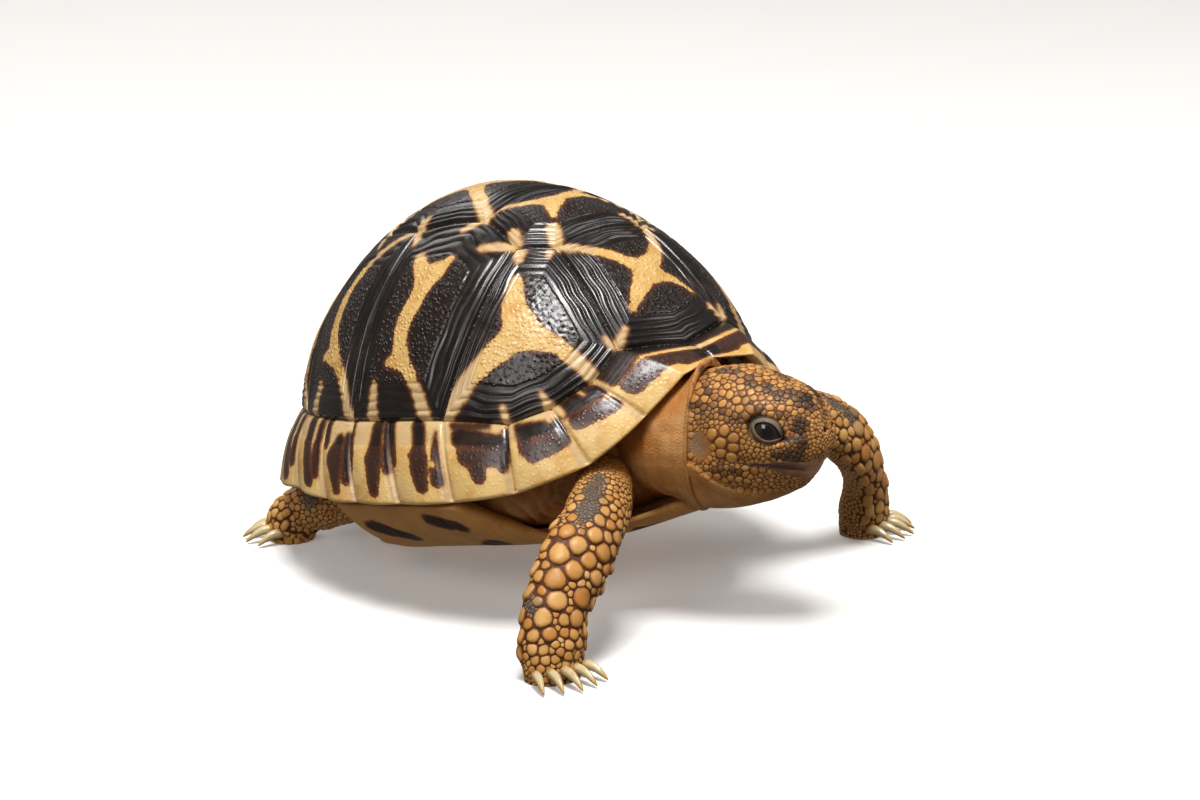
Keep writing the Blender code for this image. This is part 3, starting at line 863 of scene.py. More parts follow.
@dataclass(frozen=True)
class EyeGloss:
    """A wet dark eye: black pupil in a brown iris, under a clear cornea."""

    name: str = "wet_cornea"
    pupil: str = "#050404"
    iris: str = "#2c1c12"
    white: str = "#4a3a2e"

    def material(self) -> Material:
        """Eye: the field look is the angle from the pupil's middle, in radians.

        Returns:
            The material.
        """
        make = Recipe(self.name, 0.12, 1.38, coat=1.0, coat_roughness=0.03)
        look = make.read("look")
        ray = make.sum("MULTIPLY_ADD", make.grain(0.2, 2.0), 0.12, look)
        colour = make.mix(make.ramp(ray, 0.36, 0.42), self.pupil, self.iris)
        colour = make.mix(make.ramp(ray, 0.78, 0.9), colour, self.white)
        return make.done(colour)


@dataclass(frozen=True)
class PaleBoard:
    """Matt white studio board under the animal."""

    name: str = "matt_white_board"
    colour: str = "#efeeec"
    mottle: str = "#f2f1ef"
    mottle_mm: float = 40.0
    glow: float = 0.2

    def material(self) -> Material:
        """A plain matt surface with the slightest mottle.

        Returns:
            The material.
        """
        make = Recipe(self.name, 0.85, 1.45)
        make.shader.inputs["Emission Color"].default_value = linear(self.colour)
        make.shader.inputs["Emission Strength"].default_value = self.glow
        return make.done(make.mix(make.grain(self.mottle_mm), self.colour, self.mottle))


# ---- shell plates

@dataclass(frozen=True)
class Stroke:
    """One pale ray or patch: its middle line in the shell frame and its half width along it."""

    line: tuple
    widths: tuple

    def gap(self, points: Array, mirror: bool) -> Array:
        """Distance from the stroke's border, negative inside it.

        Args:
            points: Rows on the dome.
            mirror: Whether the stroke lies on the left side.

        Returns:
            Millimetres, one for each point.
        """
        knots = np.asarray(self.line, float)
        if mirror:
            knots = knots * MIRROR
        t = np.linspace(0, 1, 4 * (len(knots) - 1) + 1)
        straight = knots[0] + (knots[-1] - knots[0]) * t[:, None]
        line = on_dome(through(knots, t) if len(knots) > 2 else straight)
        radii = np.interp(t, np.linspace(0, 1, len(self.widths)), self.widths)
        return polyline_gap(points, line, radii)


@dataclass
class DomePlate:
    """One plate of the dome: its corners, the middle of its hatchling plate and its rays."""

    name: str
    corners: tuple
    hub: tuple
    rays: tuple
    patches: tuple = ()
    mirror: bool = False
    blend: float = 1.1
    around: int = 200
    rings: int = 92
    areola: float = 0.60
    ridges: int = 4
    ridge_height: float = 0.27
    seam_depth: float = 0.46
    seam_mm: float = 0.42
    seam_gap: float = 0.02
    half_width_mm: float = 9.5

    def outline(self) -> Array:
        """The plate's outline, with its points spaced evenly and its corners kept.

        Returns:
            Rows on the dome.
        """
        corners = np.asarray(self.corners, float)
        if self.mirror:
            corners = corners * MIRROR
        following = np.roll(corners, -1, axis=0)
        lengths = np.linalg.norm(following - corners, axis=1)
        counts = np.maximum(4, np.round(self.around * lengths / lengths.sum())).astype(int)
        sides = [a + (b - a) * (np.arange(n) / n)[:, None]
                 for a, b, n in zip(corners, following, counts)]
        return on_dome(np.vstack(sides))

    def build(self) -> Object:
        """The plate as a closed mesh: ridged growth rings round a raised, pebbled middle.

        Returns:
            The plate.
        """
        loop = self.outline()
        hub = on_dome(np.asarray(self.hub, float) * (MIRROR if self.mirror else 1.0))
        count = len(loop)
        grown_width = 1 - self.areola
        share = np.concatenate([np.linspace(0, 0.045, 7)[:-1],
                                np.linspace(0.045, grown_width + 0.03, 56)[:-1],
                                np.linspace(grown_width + 0.03, 0.985, self.rings - 61)])
        angle = np.linspace(0, TAU, count, endpoint=False)
        phase = sum(ord(letter) for letter in self.name)
        waver = 0.012 * np.sin(angle * 3 + phase) + 0.008 * np.sin(angle * 7 + 2 * phase)
        surface = on_dome(loop[None] + (hub - loop)[None] * share[:, None, None])
        turned = share[:, None] + waver[None] * np.sin(math.pi * np.clip(share / grown_width, 0, 1))[:, None]
        step = np.clip(turned / grown_width, 0, 1)
        in_growth = smooth_step(1.0, 0.93, step) * smooth_step(0.0, 0.06, step)
        drift = 0.30 * seeded_waves(surface.reshape(-1, 3), 8, 5.0).reshape(step.shape)
        wave = np.abs(np.sin(math.pi * (self.ridges * step + drift * np.sin(math.pi * step)))) ** 0.9 - 0.55
        uneven = (0.7 + 0.25 * np.sin(angle * 2 + phase)[None] * np.cos(step * 9 + phase)
                  + 0.35 * np.sin(step * self.ridges * math.pi * 0.37 + phase))
        height = (-self.seam_depth * bell(share[:, None] * self.half_width_mm, 0.0, self.seam_mm)
                  + self.ridge_height * wave * in_growth * uneven
                  + 0.05 * smooth_step(0.1, 0.9, step)
                  + 0.16 * smooth_step(0.94, 1.04, turned / grown_width)
                  + 0.12 * smooth_step(0.5, 1.0, share)[:, None])
        points = surface.reshape(-1, 3)
        lumps = seeded_waves(points, 3, 0.62, 16) * 0.028 * (1 - in_growth.reshape(-1))
        height = height.reshape(-1) + lumps * smooth_step(0.03, 0.08, np.repeat(share, count))
        raised = points + dome_outward(points) * height[:, None]
        pale = self.pale_gap(points)
        top = standing(raised)
        wall = standing(on_dome(loop, HORN_INNER))
        ends = standing(np.stack([on_dome(hub, HORN_INNER), hub + dome_outward(hub) * 0.33]))
        inward = unit(hub - loop) * self.seam_gap
        top[:count] += inward
        wall += inward
        faces = tube_faces(len(share) + 1, count)
        if self.winds_clockwise(loop, hub):
            faces = [f[:, ::-1] for f in faces]
        fields = {
            "pale_mm": np.concatenate([np.full(count, FAR_MM), pale, (FAR_MM, pale[-1])]),
            "grown": np.concatenate([np.ones(count), in_growth.reshape(-1), np.zeros(2)]),
            "ring": np.concatenate([np.zeros(count), (step * self.ridges).reshape(-1), np.zeros(2)]),
        }
        return make_piece(f"horn_{self.name}", np.vstack([wall, top, ends]), faces, fields)

    def winds_clockwise(self, loop: Array, hub: Array) -> bool:
        """Whether the outline runs clockwise seen from outside."""
        turn = np.cross(loop - hub, np.roll(loop, -1, axis=0) - hub).sum(0)
        return float(turn @ hub) < 0

    def pale_gap(self, points: Array) -> Array:
        """Distance from the border of the plate's pale marks, negative inside them.

        Args:
            points: Rows on the dome.

        Returns:
            Millimetres, one for each point.
        """
        gap = np.full(len(points), FAR_MM)
        for ray in self.rays:
            gap = soft_min(gap, ray.gap(points, self.mirror), self.blend)
        for patch in self.patches:
            gap = np.minimum(gap, patch.gap(points, self.mirror))
        return gap


def costal_plates() -> list[DomePlate]:
    """The four plates down each side.

    Returns:
        The right plate and the left one of each pair, from the front.
    """
    first = dict(
        corners=(RIM_TOP[1], V1_V2, C1_C2, RIM_TOP[5], RIM_TOP[4], RIM_TOP[3], RIM_TOP[2]),
        hub=(-17.6, -21.2, 19.2),
        rays=(Stroke(((-17.7, -21.1, 18.9), (-16.6, -19.4, 22.2), (-14.4, -18.2, 25.2)), (2.3, 1.6, 0.85)),
              Stroke(((-17.7, -21.1, 18.9), (-22.6, -16.6, 15.0), (-26.1, -12.1, 9.6)), (2.1, 1.3, 1.25)),
              Stroke(((-17.7, -21.1, 18.9), (-15.6, -25.4, 16.2), (-14.0, -28.9, 12.0)), (2.0, 1.05, 0.9))),
        patches=(Stroke(((-11.4, -16.3, 29.0), (-12.5, -17.2, 27.8)), (1.2, 0.6)),
                 Stroke(((-8.8, -19.6, 28.2), (-9.6, -19.9, 27.5)), (0.55, 0.35)),
                 Stroke(((-10.6, -28.4, 16.4), (-10.3, -29.4, 15.1)), (0.2, 0.55)),
                 Stroke(((-19.3, -24.3, 11.2), (-19.3, -25.3, 9.3)), (0.3, 0.7)),
                 Stroke(((-22.5, -20.3, 10.2), (-22.9, -20.8, 8.3)), (0.35, 0.6))))
    second = dict(
        corners=(C1_C2, V2_V3, C2_C3, RIM_TOP[7], RIM_TOP[6], RIM_TOP[5]),
        hub=(-22.6, -4.2, 21.6),
        rays=(Stroke(((-24.6, -4.9, 17.6), (-22.9, -4.0, 21.3), (-20.4, -5.2, 24.8), (-17.8, -6.0, 27.6)),
                     (1.0, 1.25, 1.35, 1.5)),
              Stroke(((-18.6, -5.2, 26.9), (-16.3, -2.6, 29.7)), (1.3, 0.85)),
              Stroke(((-18.0, -6.8, 27.4), (-16.0, -8.2, 29.1)), (1.3, 0.6)),
              Stroke(((-24.5, -5.0, 17.6), (-25.6, -7.6, 14.4), (-26.6, -9.6, 9.9)), (1.0, 0.85, 1.0)),
              Stroke(((-24.5, -4.4, 17.7), (-24.8, -2.4, 17.4)), (0.9, 0.5))),
        patches=(Stroke(((-26.0, 0.0, 14.8), (-27.3, 0.2, 10.2)), (0.6, 1.05)),
                 Stroke(((-12.0, -7.3, 32.4), (-10.0, -9.1, 33.1)), (0.5, 0.75)),
                 Stroke(((-14.4, 0.2, 31.6), (-12.5, 1.0, 32.9)), (0.5, 0.8)),
                 Stroke(((-13.6, -11.9, 30.0), (-11.7, -15.4, 29.5)), (0.6, 0.75))))
    third = dict(
        corners=(C2_C3, V3_V4, C3_C4, RIM_TOP[9], RIM_TOP[8], RIM_TOP[7]),
        hub=(-21.6, 11.2, 20.9),
        rays=(Stroke(((-12.4, 2.0, 32.9), (-13.8, 6.6, 31.3), (-16.3, 9.8, 28.2), (-18.4, 11.4, 25.4),
                      (-21.0, 11.4, 22.0), (-23.0, 10.4, 19.0)), (0.45, 0.6, 0.75, 0.95, 1.05, 1.1)),
              Stroke(((-23.0, 10.4, 19.0), (-24.8, 7.6, 16.4), (-26.9, 5.2, 10.9)), (1.1, 0.8, 0.8)),
              Stroke(((-22.9, 11.0, 19.0), (-22.7, 13.2, 18.6)), (0.9, 0.5))),
        patches=(Stroke(((-24.0, 13.2, 15.0), (-24.6, 15.3, 11.2)), (0.6, 0.9)),
                 Stroke(((-12.6, 9.6, 31.6), (-10.6, 10.6, 32.4)), (0.5, 0.7)),
                 Stroke(((-13.6, 16.6, 28.0), (-12.0, 17.9, 27.8)), (0.5, 0.8))))
    fourth = dict(
        corners=(C3_C4, V4_V5, RIM_TOP[11], RIM_TOP[10], RIM_TOP[9]),
        hub=(-16.6, 21.6, 20.2),
        rays=(Stroke(((-12.6, 19.4, 26.6), (-15.2, 20.8, 22.6), (-16.8, 21.6, 19.8)), (0.7, 0.95, 1.2)),
              Stroke(((-16.8, 21.6, 19.8), (-20.4, 20.6, 15.0), (-23.0, 19.0, 11.4)), (1.2, 0.85, 1.0)),
              Stroke(((-16.8, 21.6, 19.8), (-15.0, 25.6, 15.4), (-13.4, 29.0, 12.2)), (1.2, 0.8, 0.9))),
        patches=(Stroke(((-8.6, 23.8, 24.4), (-9.8, 24.6, 22.8)), (0.8, 0.5)),
                 Stroke(((-18.4, 24.2, 13.6), (-18.6, 25.2, 11.6)), (0.5, 0.8))))
    made = []
    for number, spec in enumerate((first, second, third, fourth), start=1):
        made.append(DomePlate(f"costal_right_{number}", **spec))
        made.append(DomePlate(f"costal_left_{number}", mirror=True, **spec))
    return made


def both_sides(*strokes: Stroke) -> tuple[Stroke, ...]:
    """Each stroke and its mirror image."""
    return strokes + tuple(Stroke(tuple(flip(p) for p in s.line), s.widths) for s in strokes)


def vertebral_plates() -> list[DomePlate]:
    """The five plates along the back.

    Returns:
        The plates, from the front.
    """
    first = DomePlate(
        "vertebral_1", (NAPE, RIM_TOP[1], V1_V2, flip(V1_V2), flip(RIM_TOP[1])), (0.3, -26.6, 23.2),
        (Stroke(((0.4, -26.7, 23.2), (-2.2, -24.5, 25.6), (-4.6, -22.6, 27.0), (-7.7, -19.9, 28.4)),
                (1.5, 0.8, 0.75, 0.7)),
         Stroke(((0.4, -26.7, 23.2), (4.7, -24.6, 25.0), (7.0, -22.0, 26.9), (7.9, -19.9, 28.4)),
                (1.5, 0.95, 0.85, 0.7)),
         Stroke(((0.2, -27.0, 22.8), (-3.0, -28.1, 21.0), (-5.2, -29.0, 19.2)), (1.5, 1.05, 0.55)),
         Stroke(((0.6, -27.0, 22.8), (3.8, -27.9, 21.2), (6.0, -28.9, 19.2)), (1.3, 0.6, 0.3))),
        (Stroke(((-7.8, -29.5, 16.9), (-9.6, -29.7, 15.2)), (0.45, 0.85)),
         Stroke(((7.8, -29.4, 16.9), (9.2, -29.9, 15.4)), (0.3, 0.6))))
    second = DomePlate(
        "vertebral_2", (V1_V2, C1_C2, V2_V3, flip(V2_V3), flip(C1_C2), flip(V1_V2)), (-0.6, -13.6, 33.5),
        (Stroke(((-1.7, -13.7, 33.6), (-4.6, -11.9, 34.1), (-7.4, -9.7, 34.1), (-9.4, -9.4, 33.3)),
                (1.1, 0.55, 0.4, 0.5)),
         Stroke(((-1.7, -13.7, 33.6), (3.2, -12.7, 33.9), (7.0, -10.4, 33.9), (9.4, -9.5, 33.2)),
                (1.1, 0.7, 0.5, 0.5)),
         Stroke(((2.4, -12.9, 33.8), (7.2, -13.8, 32.4), (10.8, -15.8, 29.8)), (0.7, 0.5, 0.5)),
         Stroke(((-1.9, -13.9, 33.5), (-4.2, -16.2, 31.9)), (1.1, 0.45))),
        (Stroke(((-5.9, -17.7, 30.6), (-7.4, -19.3, 28.9)), (0.95, 0.95)),
         Stroke(((-9.9, -14.5, 31.0), (-10.9, -15.6, 29.8)), (0.8, 0.8)),
         Stroke(((6.4, -18.2, 30.0), (7.6, -19.3, 28.8)), (0.6, 0.8))))
    third = DomePlate(
        "vertebral_3", (V2_V3, C2_C3, V3_V4, flip(V3_V4), flip(C2_C3), flip(V2_V3)), (-1.4, 0.3, 36.9),
        (Stroke(((-1.8, 0.2, 36.9), (-5.6, -4.2, 35.7), (-9.2, -8.9, 33.5)), (1.3, 0.95, 0.95)),
         Stroke(((-1.8, 0.2, 36.9), (3.8, -4.4, 36.2), (9.0, -8.8, 33.5)), (1.3, 0.8, 0.7)),
         Stroke(((-1.8, 0.4, 36.9), (-4.4, 5.2, 36.0), (-8.8, 9.6, 33.6)), (1.3, 0.8, 0.7)),
         Stroke(((-1.6, 0.4, 36.9), (4.0, 5.0, 36.0), (8.9, 9.6, 33.5)), (1.3, 0.8, 0.7))),
        both_sides(Stroke(((-10.6, 1.6, 34.1), (-11.9, 1.4, 33.3)), (0.7, 0.8))))
    fourth = DomePlate(
        "vertebral_4", (V3_V4, C3_C4, V4_V5, flip(V4_V5), flip(C3_C4), flip(V3_V4)), (0.4, 16.0, 32.6),
        (Stroke(((0.4, 16.0, 32.6), (-4.6, 13.0, 33.4), (-9.2, 10.9, 32.9)), (1.3, 0.75, 0.65)),
         Stroke(((0.4, 16.0, 32.6), (5.0, 13.2, 33.3), (9.2, 10.9, 32.9)), (1.3, 0.75, 0.65)),
         Stroke(((0.4, 16.2, 32.5), (-3.6, 19.6, 29.2), (-7.2, 22.6, 25.9)), (1.3, 0.8, 0.75)),
         Stroke(((0.4, 16.2, 32.5), (3.8, 19.6, 29.2), (7.2, 22.6, 25.9)), (1.3, 0.8, 0.75))),
        both_sides(Stroke(((-9.6, 17.4, 29.2), (-11.3, 18.2, 27.9)), (0.5, 0.8))))
    fifth = DomePlate(
        "vertebral_5", (V4_V5, RIM_TOP[11], RIM_TOP[12], TAIL_TOP, flip(RIM_TOP[12]), flip(RIM_TOP[11]),
                        flip(V4_V5)), (0.0, 28.6, 20.0),
        both_sides(Stroke(((0.0, 28.4, 20.2), (-4.0, 26.0, 23.0), (-7.3, 23.4, 25.2)), (1.5, 0.8, 0.7)),
                   Stroke(((0.0, 28.6, 20.0), (-6.6, 29.6, 15.6), (-12.2, 29.8, 12.2)), (1.5, 0.9, 0.9)),
                   Stroke(((0.0, 28.6, 20.0), (-3.2, 31.6, 15.0), (-6.2, 32.4, 11.2)), (1.5, 0.8, 0.8))))
    return [first, second, third, fourth, fifth]


# ---- shell rim

@dataclass(frozen=True)
class EdgePlate:
    """The dark marks of one marginal plate, on pale horn.

    Each mark is (across, down, across, down, half width, half width): across runs from 0 at the
    front seam to 1 at the back one, down from 0 at the top seam to 1 at the free edge, and half
    widths are millimetres.
    """

    dark: tuple
    pale: tuple = ()


FRONT_EDGE = (
    EdgePlate(((0.0, 0.08, 0.88, 0.12, 1.5, 1.7), (0.0, 0.66, 0.82, 0.5, 1.5, 1.5),
               (0.0, 0.8, 0.3, 0.72, 1.3, 1.3)),
              ((0.98, 0.0, 0.96, 1.0, 0.42, 0.7),)),
    EdgePlate(((0.12, 0.15, 0.85, 0.12, 1.5, 1.3), (0.15, 0.5, 0.75, 0.38, 1.3, 1.3)),
              ((0.93, 0.03, 0.9, 0.14, 0.65, 0.5), (0.35, 0.0, 0.34, 0.08, 0.3, 0.2))),
    EdgePlate(((0.1, 0.3, 0.8, 0.15, 1.4, 1.2), (0.15, 0.5, 0.6, 0.55, 1.3, 1.4),
               (0.7, 0.35, 0.72, 0.45, 1.2, 1.0)),
              ((0.98, 0.0, 0.93, 1.0, 0.7, 0.85), (0.15, 0.03, 0.16, 0.14, 0.7, 0.45))),
)
SIDE_EDGE = (
    EdgePlate(((0.02, 0.12, 0.12, 0.62, 0.7, 0.9), (0.05, 0.3, 0.72, 0.2, 1.5, 1.5),
               (0.12, 0.5, 0.66, 0.45, 1.3, 1.3), (0.5, 0.6, 0.5, 0.72, 1.3, 1.1),
               (0.3, 0.04, 0.84, 0.06, 0.6, 0.6)),
              ((0.1, 0.02, 0.2, 0.08, 0.5, 0.4), (0.98, 0.0, 0.93, 0.5, 0.6, 0.8),
               (0.9, 0.6, 0.8, 0.9, 0.9, 1.2))),
    EdgePlate(((0.12, 0.15, 0.17, 0.74, 0.35, 1.1), (0.41, 0.03, 0.42, 0.3, 1.25, 1.25),
               (0.45, 0.45, 0.46, 0.8, 1.7, 1.1), (0.97, 0.02, 0.93, 0.5, 1.1, 0.8)),
              ((0.2, 0.0, 0.2, 0.16, 1.1, 0.35), (0.2, 0.53, 0.21, 0.55, 0.35, 0.3),
               (0.7, 0.0, 0.68, 0.3, 1.2, 1.1), (0.72, 0.5, 0.85, 0.75, 1.0, 1.3))),
    EdgePlate(((0.02, 0.02, 0.1, 0.6, 0.8, 0.7), (0.25, 0.03, 0.33, 0.45, 1.2, 1.4),
               (0.38, 0.5, 0.42, 0.86, 1.5, 0.9), (0.98, 0.02, 0.95, 0.55, 1.0, 0.8)),
              ((0.65, 0.0, 0.7, 0.4, 1.2, 1.0), (0.76, 0.5, 0.82, 0.9, 0.9, 1.2))),
    EdgePlate(((0.05, 0.2, 0.15, 0.74, 0.8, 0.8), (0.3, 0.25, 0.45, 0.5, 1.1, 1.8),
               (0.45, 0.5, 0.42, 0.86, 1.7, 0.8), (0.85, 0.02, 0.8, 0.3, 1.1, 0.8)),
              ((0.48, 0.0, 0.5, 0.13, 0.75, 0.5), (0.95, 0.4, 0.9, 0.9, 0.5, 0.9))),
)
REAR_EDGE = (
    EdgePlate(((0.12, 0.05, 0.2, 0.7, 0.9, 0.9), (0.5, 0.03, 0.4, 0.8, 1.2, 1.2)),
              ((0.85, 0.0, 0.82, 0.9, 0.7, 0.9),)),
    EdgePlate(((0.12, 0.05, 0.2, 0.66, 0.8, 0.9), (0.5, 0.03, 0.42, 0.82, 1.3, 1.3)),
              ((0.86, 0.0, 0.84, 0.9, 0.6, 0.9),)),
    EdgePlate(((0.1, 0.05, 0.2, 0.7, 0.9, 0.8), (0.5, 0.03, 0.4, 0.8, 1.4, 1.2)),
              ((0.84, 0.0, 0.8, 0.9, 0.6, 0.9),)),
    EdgePlate(((0.1, 0.05, 0.16, 0.66, 0.8, 0.9), (0.48, 0.03, 0.42, 0.8, 1.5, 1.2)),
              ((0.84, 0.0, 0.84, 0.9, 0.6, 0.9),)),
)
TAIL_PLATE = (
    EdgePlate(((0.35, 0.05, 0.4, 0.74, 1.5, 1.3),), ((0.75, 0.0, 0.75, 0.9, 0.5, 0.8),)),
    EdgePlate(((0.65, 0.05, 0.6, 0.74, 1.5, 1.3),), ((0.25, 0.0, 0.25, 0.9, 0.5, 0.8),)),
)


@dataclass
class RimStrip:
    """Several marginal plates in a row, each with its growth rings, and a scalloped free edge.

    The corners of tops and edges make spans; bounds says at which corners a new plate starts.
    """

    name: str
    tops: tuple
    edges: tuple
    marks: tuple
    bounds: tuple
    mirror: bool = False
    one_plate: bool = False
    columns: int = 36
    rows: int = 44
    back_rows: int = 14
    scallop: float = 0.9
    bulge: float = 0.78
    seam_depth: float = 0.32
    seam_mm: float = 0.28
    top_seam_depth: float = 0.2
    top_seam_mm: float = 0.3

    def build(self) -> Object:
        """The strip as a closed mesh.

        Returns:
            The strip.
        """
        side = MIRROR if self.mirror else np.ones(3)
        tops, edges = np.asarray(self.tops, float) * side, np.asarray(self.edges, float) * side
        spans = len(tops) - 1
        across = np.linspace(0, spans, spans * self.columns + 1)
        span = np.minimum(across.astype(int), spans - 1)
        step = (across - span)[:, None]
        top = tops[span] + (tops[span + 1] - tops[span]) * step
        edge = edges[span] + (edges[span + 1] - edges[span]) * step
        limits = np.asarray(self.bounds, float)
        plate = np.clip(np.searchsorted(limits, across, "right") - 1, 0, len(limits) - 2)
        breadth = np.diff(limits)[plate]
        share = (across - limits[plate]) / breadth
        outward = unit(edge * (1.0, 1.0, 0.0))
        if self.one_plate:
            lobe = np.sin(math.pi * np.abs(across - 1.0) ** 0.8)
            edge = edge + outward * (self.scallop * 0.6 * lobe)[:, None]
            seam_near = np.minimum(across, spans - across)
        else:
            edge = edge + outward * (self.scallop * np.sin(math.pi * share))[:, None]
            seam_near = np.minimum(share, 1 - share)
        down = np.concatenate([np.linspace(0, 0.08, 5)[:-1], np.linspace(0.08, 1.0, self.rows - 4)])
        upper = on_dome(top, 0.992)
        upper_in, lower_in = on_dome(top, HORN_INNER), edge - outward * RIM_THICKNESS
        drop = edge - upper
        height_mm = np.linalg.norm(drop, axis=1)
        width_mm = breadth * np.linalg.norm(np.gradient(0.5 * (top + edge), across, axis=0), axis=1)
        outer = upper[None] + drop[None] * down[:, None, None]
        bulge = self.bulge * np.sin(math.pi * down ** 0.85) ** 0.9
        height = (bulge[:, None] - self.seam_depth * bell(seam_near * width_mm, 0.0, self.seam_mm)
                  - self.top_seam_depth * bell(down[:, None] * height_mm, 0.0, self.top_seam_mm)
                  + self.growth(share, down, width_mm, height_mm))
        face_out = unit(np.cross(drop, np.gradient(top, axis=0)))
        if (face_out * outward).sum() < 0:
            face_out = -face_out
        push = unit(outward * 0.6 + face_out * 0.4)
        outer = outer + push[None] * height[..., None]
        lip = self.lip(edge, lower_in, drop)
        back = np.linspace(0, 1, self.back_rows)
        inner = lower_in[None] + (upper_in - lower_in)[None] * back[:, None, None]
        profile = np.concatenate([outer, lip, inner])
        grid = standing(profile.transpose(1, 0, 2))
        hidden = np.zeros((len(across), len(lip) + len(inner)))
        marks = {"pale_mm": (self.pale_gap(plate, share, down, width_mm, height_mm), hidden - 2.0, 3.0),
                 "grown": (self.growth_zone(share, down), hidden, 0.0),
                 "ring": (np.repeat(down * 6.0, len(across)).reshape(len(down), -1), hidden, 0.0)}
        fields = {name: np.append(np.hstack([face.T, behind]), (end, end))
                  for name, (face, behind, end) in marks.items()}
        faces = tube_faces(*grid.shape[:2])
        if not self.mirror:
            faces = [f[:, ::-1] for f in faces]
        return make_piece(f"horn_{self.name}", Sleeve(grid).closed(), faces, fields)

    def growth_zone(self, share: Array, down: Array) -> Array:
        """1 where the plate has grown since hatching: along its top and its front seam."""
        return np.maximum(smooth_step(0.33, 0.27, down)[:, None], smooth_step(0.16, 0.10, share))

    def growth(self, share: Array, down: Array, width_mm: Array,
               height_mm: Array) -> Array:
        """Height of the growth ridges, which follow the top and front seams.

        Args:
            share: Place of each column between its plate's front and back seams.
            down: Place of each row between the top seam and the free edge.
            width_mm: Width of the plate at each column.
            height_mm: Height of the strip at each column.

        Returns:
            Millimetres, by rows down and columns across.
        """
        from_front = (share * width_mm)[None] * 1.4
        from_top = down[:, None] * height_mm[None]
        reach = soft_min(np.broadcast_to(from_front, from_top.shape), from_top, 1.2)
        ridge = np.abs(np.sin(math.pi * reach / 0.62)) ** 0.8 - 0.6
        zone = self.growth_zone(share, down)
        return 0.04 * ridge * zone + 0.10 * (1 - zone)

    def lip(self, edge: Array, lower_in: Array, drop: Array) -> Array:
        """The rounded free edge between the outer and the inner face.

        Args:
            edge: The outer face's lowest points.
            lower_in: The inner face's lowest points.
            drop: The way down the outer face.

        Returns:
            Rows of points round the edge.
        """
        turns = np.linspace(0, math.pi, 9)[1:-1]
        middle, half = 0.5 * (edge + lower_in), 0.5 * (edge - lower_in)
        below = unit(drop) * 0.45
        return np.stack([middle + half * math.cos(a) + below * math.sin(a) for a in turns])

    def pale_gap(self, plate: Array, share: Array, down: Array, width_mm: Array,
                 height_mm: Array) -> Array:
        """Signed distance to the pale horn.

        Args:
            plate: Number of the plate that each column lies in.
            share: Place of each column between its plate's front and back seams.
            down: Place of each row between the top seam and the free edge.
            width_mm: Width of the plate at each column.
            height_mm: Height of the strip at each column.

        Returns:
            Distances in millimetres, by rows down and columns across.
        """
        made = np.full((len(down), len(share)), -3.0)
        for number, marks in enumerate(self.marks):
            mine = plate == number
            size = np.array((width_mm[mine].mean(), height_mm[mine].mean()))
            place = np.stack(np.broadcast_arrays(share[mine][None] * size[0], down[:, None] * size[1]),
                             axis=-1).reshape(-1, 2)
            gap = np.full(len(place), FAR_MM)
            for strokes, blend, sign in ((marks.dark, 0.5, -1.0), (marks.pale, 0.35, 1.0)):
                for x0, y0, x1, y1, *radii in strokes:
                    line = np.array(((x0, y0), (x1, y1))) * size
                    gap = soft_min(gap, polyline_gap(place, line, np.array(radii)), blend)
                gap = sign * gap
            made[:, mine] = gap.reshape(len(down), -1)
        return made


def rim_strips() -> list[RimStrip]:
    """The marginal plates of each side in three strips, and the plate over the tail.

    Returns:
        The strips.
    """
    made = []
    for part, start, marks, bounds in (("front", 0, FRONT_EDGE, (0, 2, 3, 4)),
                                       ("bridge", 4, SIDE_EDGE, (0, 1, 2, 3, 4)),
                                       ("rear", 8, REAR_EDGE, (0, 1, 2, 3, 4))):
        span = slice(start, start + 5)
        made.append(RimStrip(f"rim_right_{part}", RIM_TOP[span], RIM_EDGE[span], marks, bounds))
        made.append(RimStrip(f"rim_left_{part}", RIM_TOP[span], RIM_EDGE[span], marks, bounds, mirror=True))
    made.append(RimStrip("supracaudal", (RIM_TOP[12], TAIL_TOP, flip(RIM_TOP[12])),
                         (RIM_EDGE[12], TAIL_EDGE, flip(RIM_EDGE[12])), TAIL_PLATE, (0, 1, 2),
                         one_plate=True))
    return made


# ---- plastron

